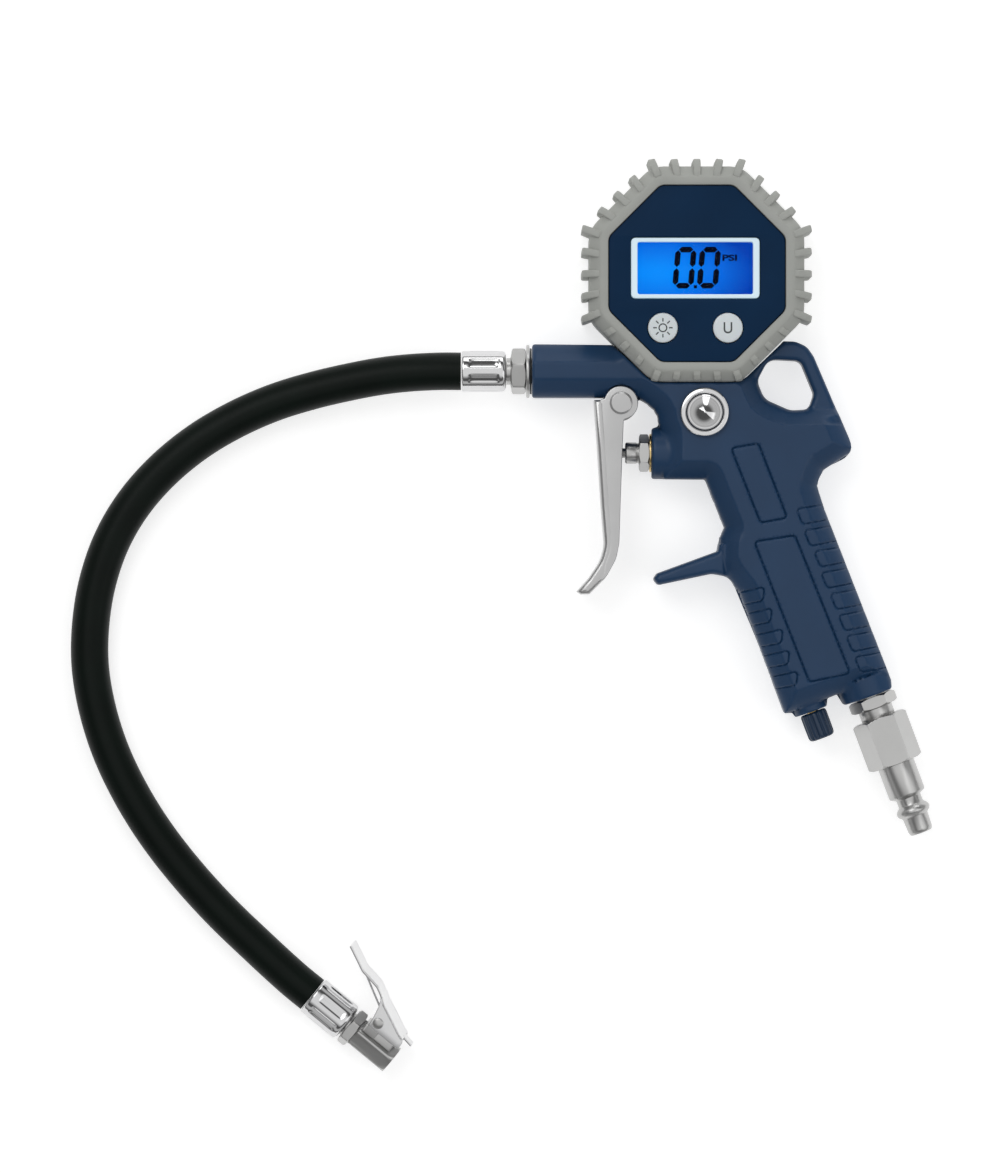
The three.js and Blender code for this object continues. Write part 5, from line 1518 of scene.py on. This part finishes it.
class INFLATOR_OT_gauge(bpy.types.Operator):
    """Make the gauge's rubber boot and its face plate"""

    bl_idname = "inflator.gauge"
    bl_label = "Gauge head"

    def execute(self, context):
        rubber = finish(boot_rubber, finishes().boot)
        boot = together(boot_shape(), *boot_teeth())
        piece("boot", boot, GAUGE, rubber, ROOT, ["gauge_boot"], 38)
        holes = [
            octagon(61.1, 4),
            rectangle(45.3, 21.7, 2, DISPLAY_CENTRE),
            circle(5.45, BACKLIGHT_PLACE),
            circle(5.45, UNIT_PLACE),
        ]
        navy = finish(moulded_navy, finishes().moulding)
        face = plate(holes, FACE_TOP - 1.7, FACE_TOP, 0.25)
        piece("face", face, GAUGE, navy, ROOT, ["face_plate"])
        return {"FINISHED"}


class INFLATOR_OT_display(bpy.types.Operator):
    """Make the display with its frame, figures and unit"""

    bl_idname = "inflator.display"
    bl_label = "Display"

    def execute(self, context):
        white = finish(frame_plastic, finishes().surround)
        holes = [rectangle(44.7, 21.1, 1.7, DISPLAY_CENTRE), rectangle(40.2, 18.2, 0.9, DISPLAY_CENTRE)]
        bezel = plate(holes, 23.6, FACE_TOP - 0.4, 0.28)
        piece("display_frame", bezel, GAUGE, white, ROOT, ["lcd_frame"])
        panel_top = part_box("lcd_panel")[1].z / MM
        panel = plate([rectangle(42.2, 20.2, 0.6, DISPLAY_CENTRE)], panel_top - 2, panel_top, 0.1)
        lit = finish(lit_display, finishes().display)
        piece("display_panel", panel, GAUGE, lit, ROOT, ["lcd_panel"])
        low, high = panel_top + 0.05, panel_top + 0.13
        shapes = [plate([outline], low, high, 0.01, 1) for x in (-8.6, -0.1) for outline in segments(x, -5)]
        shapes.append(plate([rectangle(1.1, 1.1, 0.15, (-0.45, -4.4))], low, high, 0.01, 1))
        shapes.append(lettering("PSI", 5.1, 2.25, (11.5, 5.7), low, high, 0.1))
        piece("display_figures", together(*shapes), GAUGE, finish(segment_ink), ROOT, [])
        return {"FINISHED"}


class INFLATOR_OT_buttons(bpy.types.Operator):
    """Make the gauge's two round buttons with their printed marks"""

    bl_idname = "inflator.buttons"
    bl_label = "Gauge buttons"

    def execute(self, context):
        self.button("backlight", BACKLIGHT_PLACE, self.sun())
        letter = lettering("U", 3, 3.9, (0, 0), 0, 0.05, 0.04)
        self.button("unit", UNIT_PLACE, letter)
        return {"FINISHED"}

    def button(self, name, place, mark):
        foot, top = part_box(name + "_button")[0].z / MM, FACE_TOP + 0.6
        profile = [
            (0, foot), (5.9, foot), (5.9, foot + 1.2), (5.15, foot + 1.2), (5.15, top - 0.5),
            (5.05, top - 0.22), (4.8, top - 0.06), (4.2, top), (0, top),
        ]
        here = GAUGE @ Matrix.Translation((*place, 0))
        white = finish(button_plastic, finishes().button)
        key = name + "_key"
        cap = turned_over(lathe(profile, 96), Matrix.Rotation(math.pi / 2, 4, "X"))
        piece(name + "_cap", cap, here, white, key, [name + "_button"])
        raised = here @ Matrix.Translation((0, 0, top - 0.02))
        piece(name + "_mark", mark, raised, finish(print_ink), key, [])

    def sun(self):
        """A ring with eight rays."""
        shapes = [plate([circle(1.55), circle(1.12)], 0, 0.05, 0.005, 1)]
        for i in range(8):
            ray = plate([rectangle(1.25, 0.42, 0.1, (2.75, 0))], 0, 0.05, 0.005, 1)
            shapes.append(turned_over(ray, Matrix.Rotation(i * math.pi / 4, 4, "Z")))
        return together(*shapes)


# ---- Pieces that keep their CAD shape ----


def kept_pieces():
    """CAD nodes that still show, with the finish of each."""
    steel, brass, rubber, dark = spring_wire, turned_brass, seal_rubber, dark_plastic
    return {
        "valve_poppet": rubber,
        "valve_spring": steel,
        "pushrod_o_ring": rubber,
        "bleed_spring": steel,
        "bleed_seal": rubber,
        "inlet_screen": brass,
        "flow_spindle": brass,
        "flow_o_ring": rubber,
        "gauge_case": dark,
        "circuit_board": board_resist,
        "lcd_window": clear_window,
        "battery_1": cell_jacket,
        "battery_2": cell_jacket,
        "battery_contact_1": bright_nickel,
        "battery_contact_2": bright_nickel,
        "battery_door": dark,
        "door_screw_1": steel,
        "door_screw_2": steel,
        "gauge_stem": brass,
        "stem_o_ring": rubber,
        "pressure_sensor": steel,
        "chuck_depressor": brass,
        "chuck_grommet": rubber,
    }


class INFLATOR_OT_inner_pieces(bpy.types.Operator):
    """Give the pieces inside, and those at the back, their finishes"""

    bl_idname = "inflator.inner_pieces"
    bl_label = "Inner pieces"

    def execute(self, context):
        for name, maker in kept_pieces().items():
            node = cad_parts[name]
            node.data.materials.clear()
            node.data.materials.append(finish(maker))
            node.data.shade_smooth()
            node.data.set_sharp_from_angle(angle=math.radians(40))
        return {"FINISHED"}


# ---- Panel and registration ----

OPERATORS = [
    INFLATOR_OT_stage,
    INFLATOR_OT_hose,
    INFLATOR_OT_casting,
    INFLATOR_OT_trigger,
    INFLATOR_OT_valve,
    INFLATOR_OT_bleed,
    INFLATOR_OT_inlet,
    INFLATOR_OT_hose_ends,
    INFLATOR_OT_chuck,
    INFLATOR_OT_gauge,
    INFLATOR_OT_display,
    INFLATOR_OT_buttons,
    INFLATOR_OT_inner_pieces,
]


class INFLATOR_PT_panel(bpy.types.Panel):
    """Lists the inflator's settings and operators"""

    bl_label = "Tyre Inflator"
    bl_idname = "INFLATOR_PT_panel"
    bl_space_type = "VIEW_3D"
    bl_region_type = "UI"
    bl_category = "Inflator"

    def draw(self, context):
        layout = self.layout
        for settings in (context.scene.inflator_sizes, context.scene.inflator_finishes):
            column = layout.column()
            for key in settings.bl_rna.properties.keys():
                if key not in ("rna_type", "name"):
                    column.prop(settings, key)
        for operator in OPERATORS:
            layout.operator(operator.bl_idname)


def register():
    for item in (InflatorFinishes, InflatorSizes, *OPERATORS, INFLATOR_PT_panel):
        bpy.utils.register_class(item)
    bpy.types.Scene.inflator_finishes = bpy.props.PointerProperty(type=InflatorFinishes)
    bpy.types.Scene.inflator_sizes = bpy.props.PointerProperty(type=InflatorSizes)


def unregister():
    del bpy.types.Scene.inflator_sizes
    del bpy.types.Scene.inflator_finishes
    for item in (INFLATOR_PT_panel, *reversed(OPERATORS), InflatorSizes, InflatorFinishes):
        bpy.utils.unregister_class(item)


def main():
    register()
    for operator in OPERATORS:
        group, name = operator.bl_idname.split(".")
        getattr(getattr(bpy.ops, group), name)()


if __name__ == "__main__":
    main()
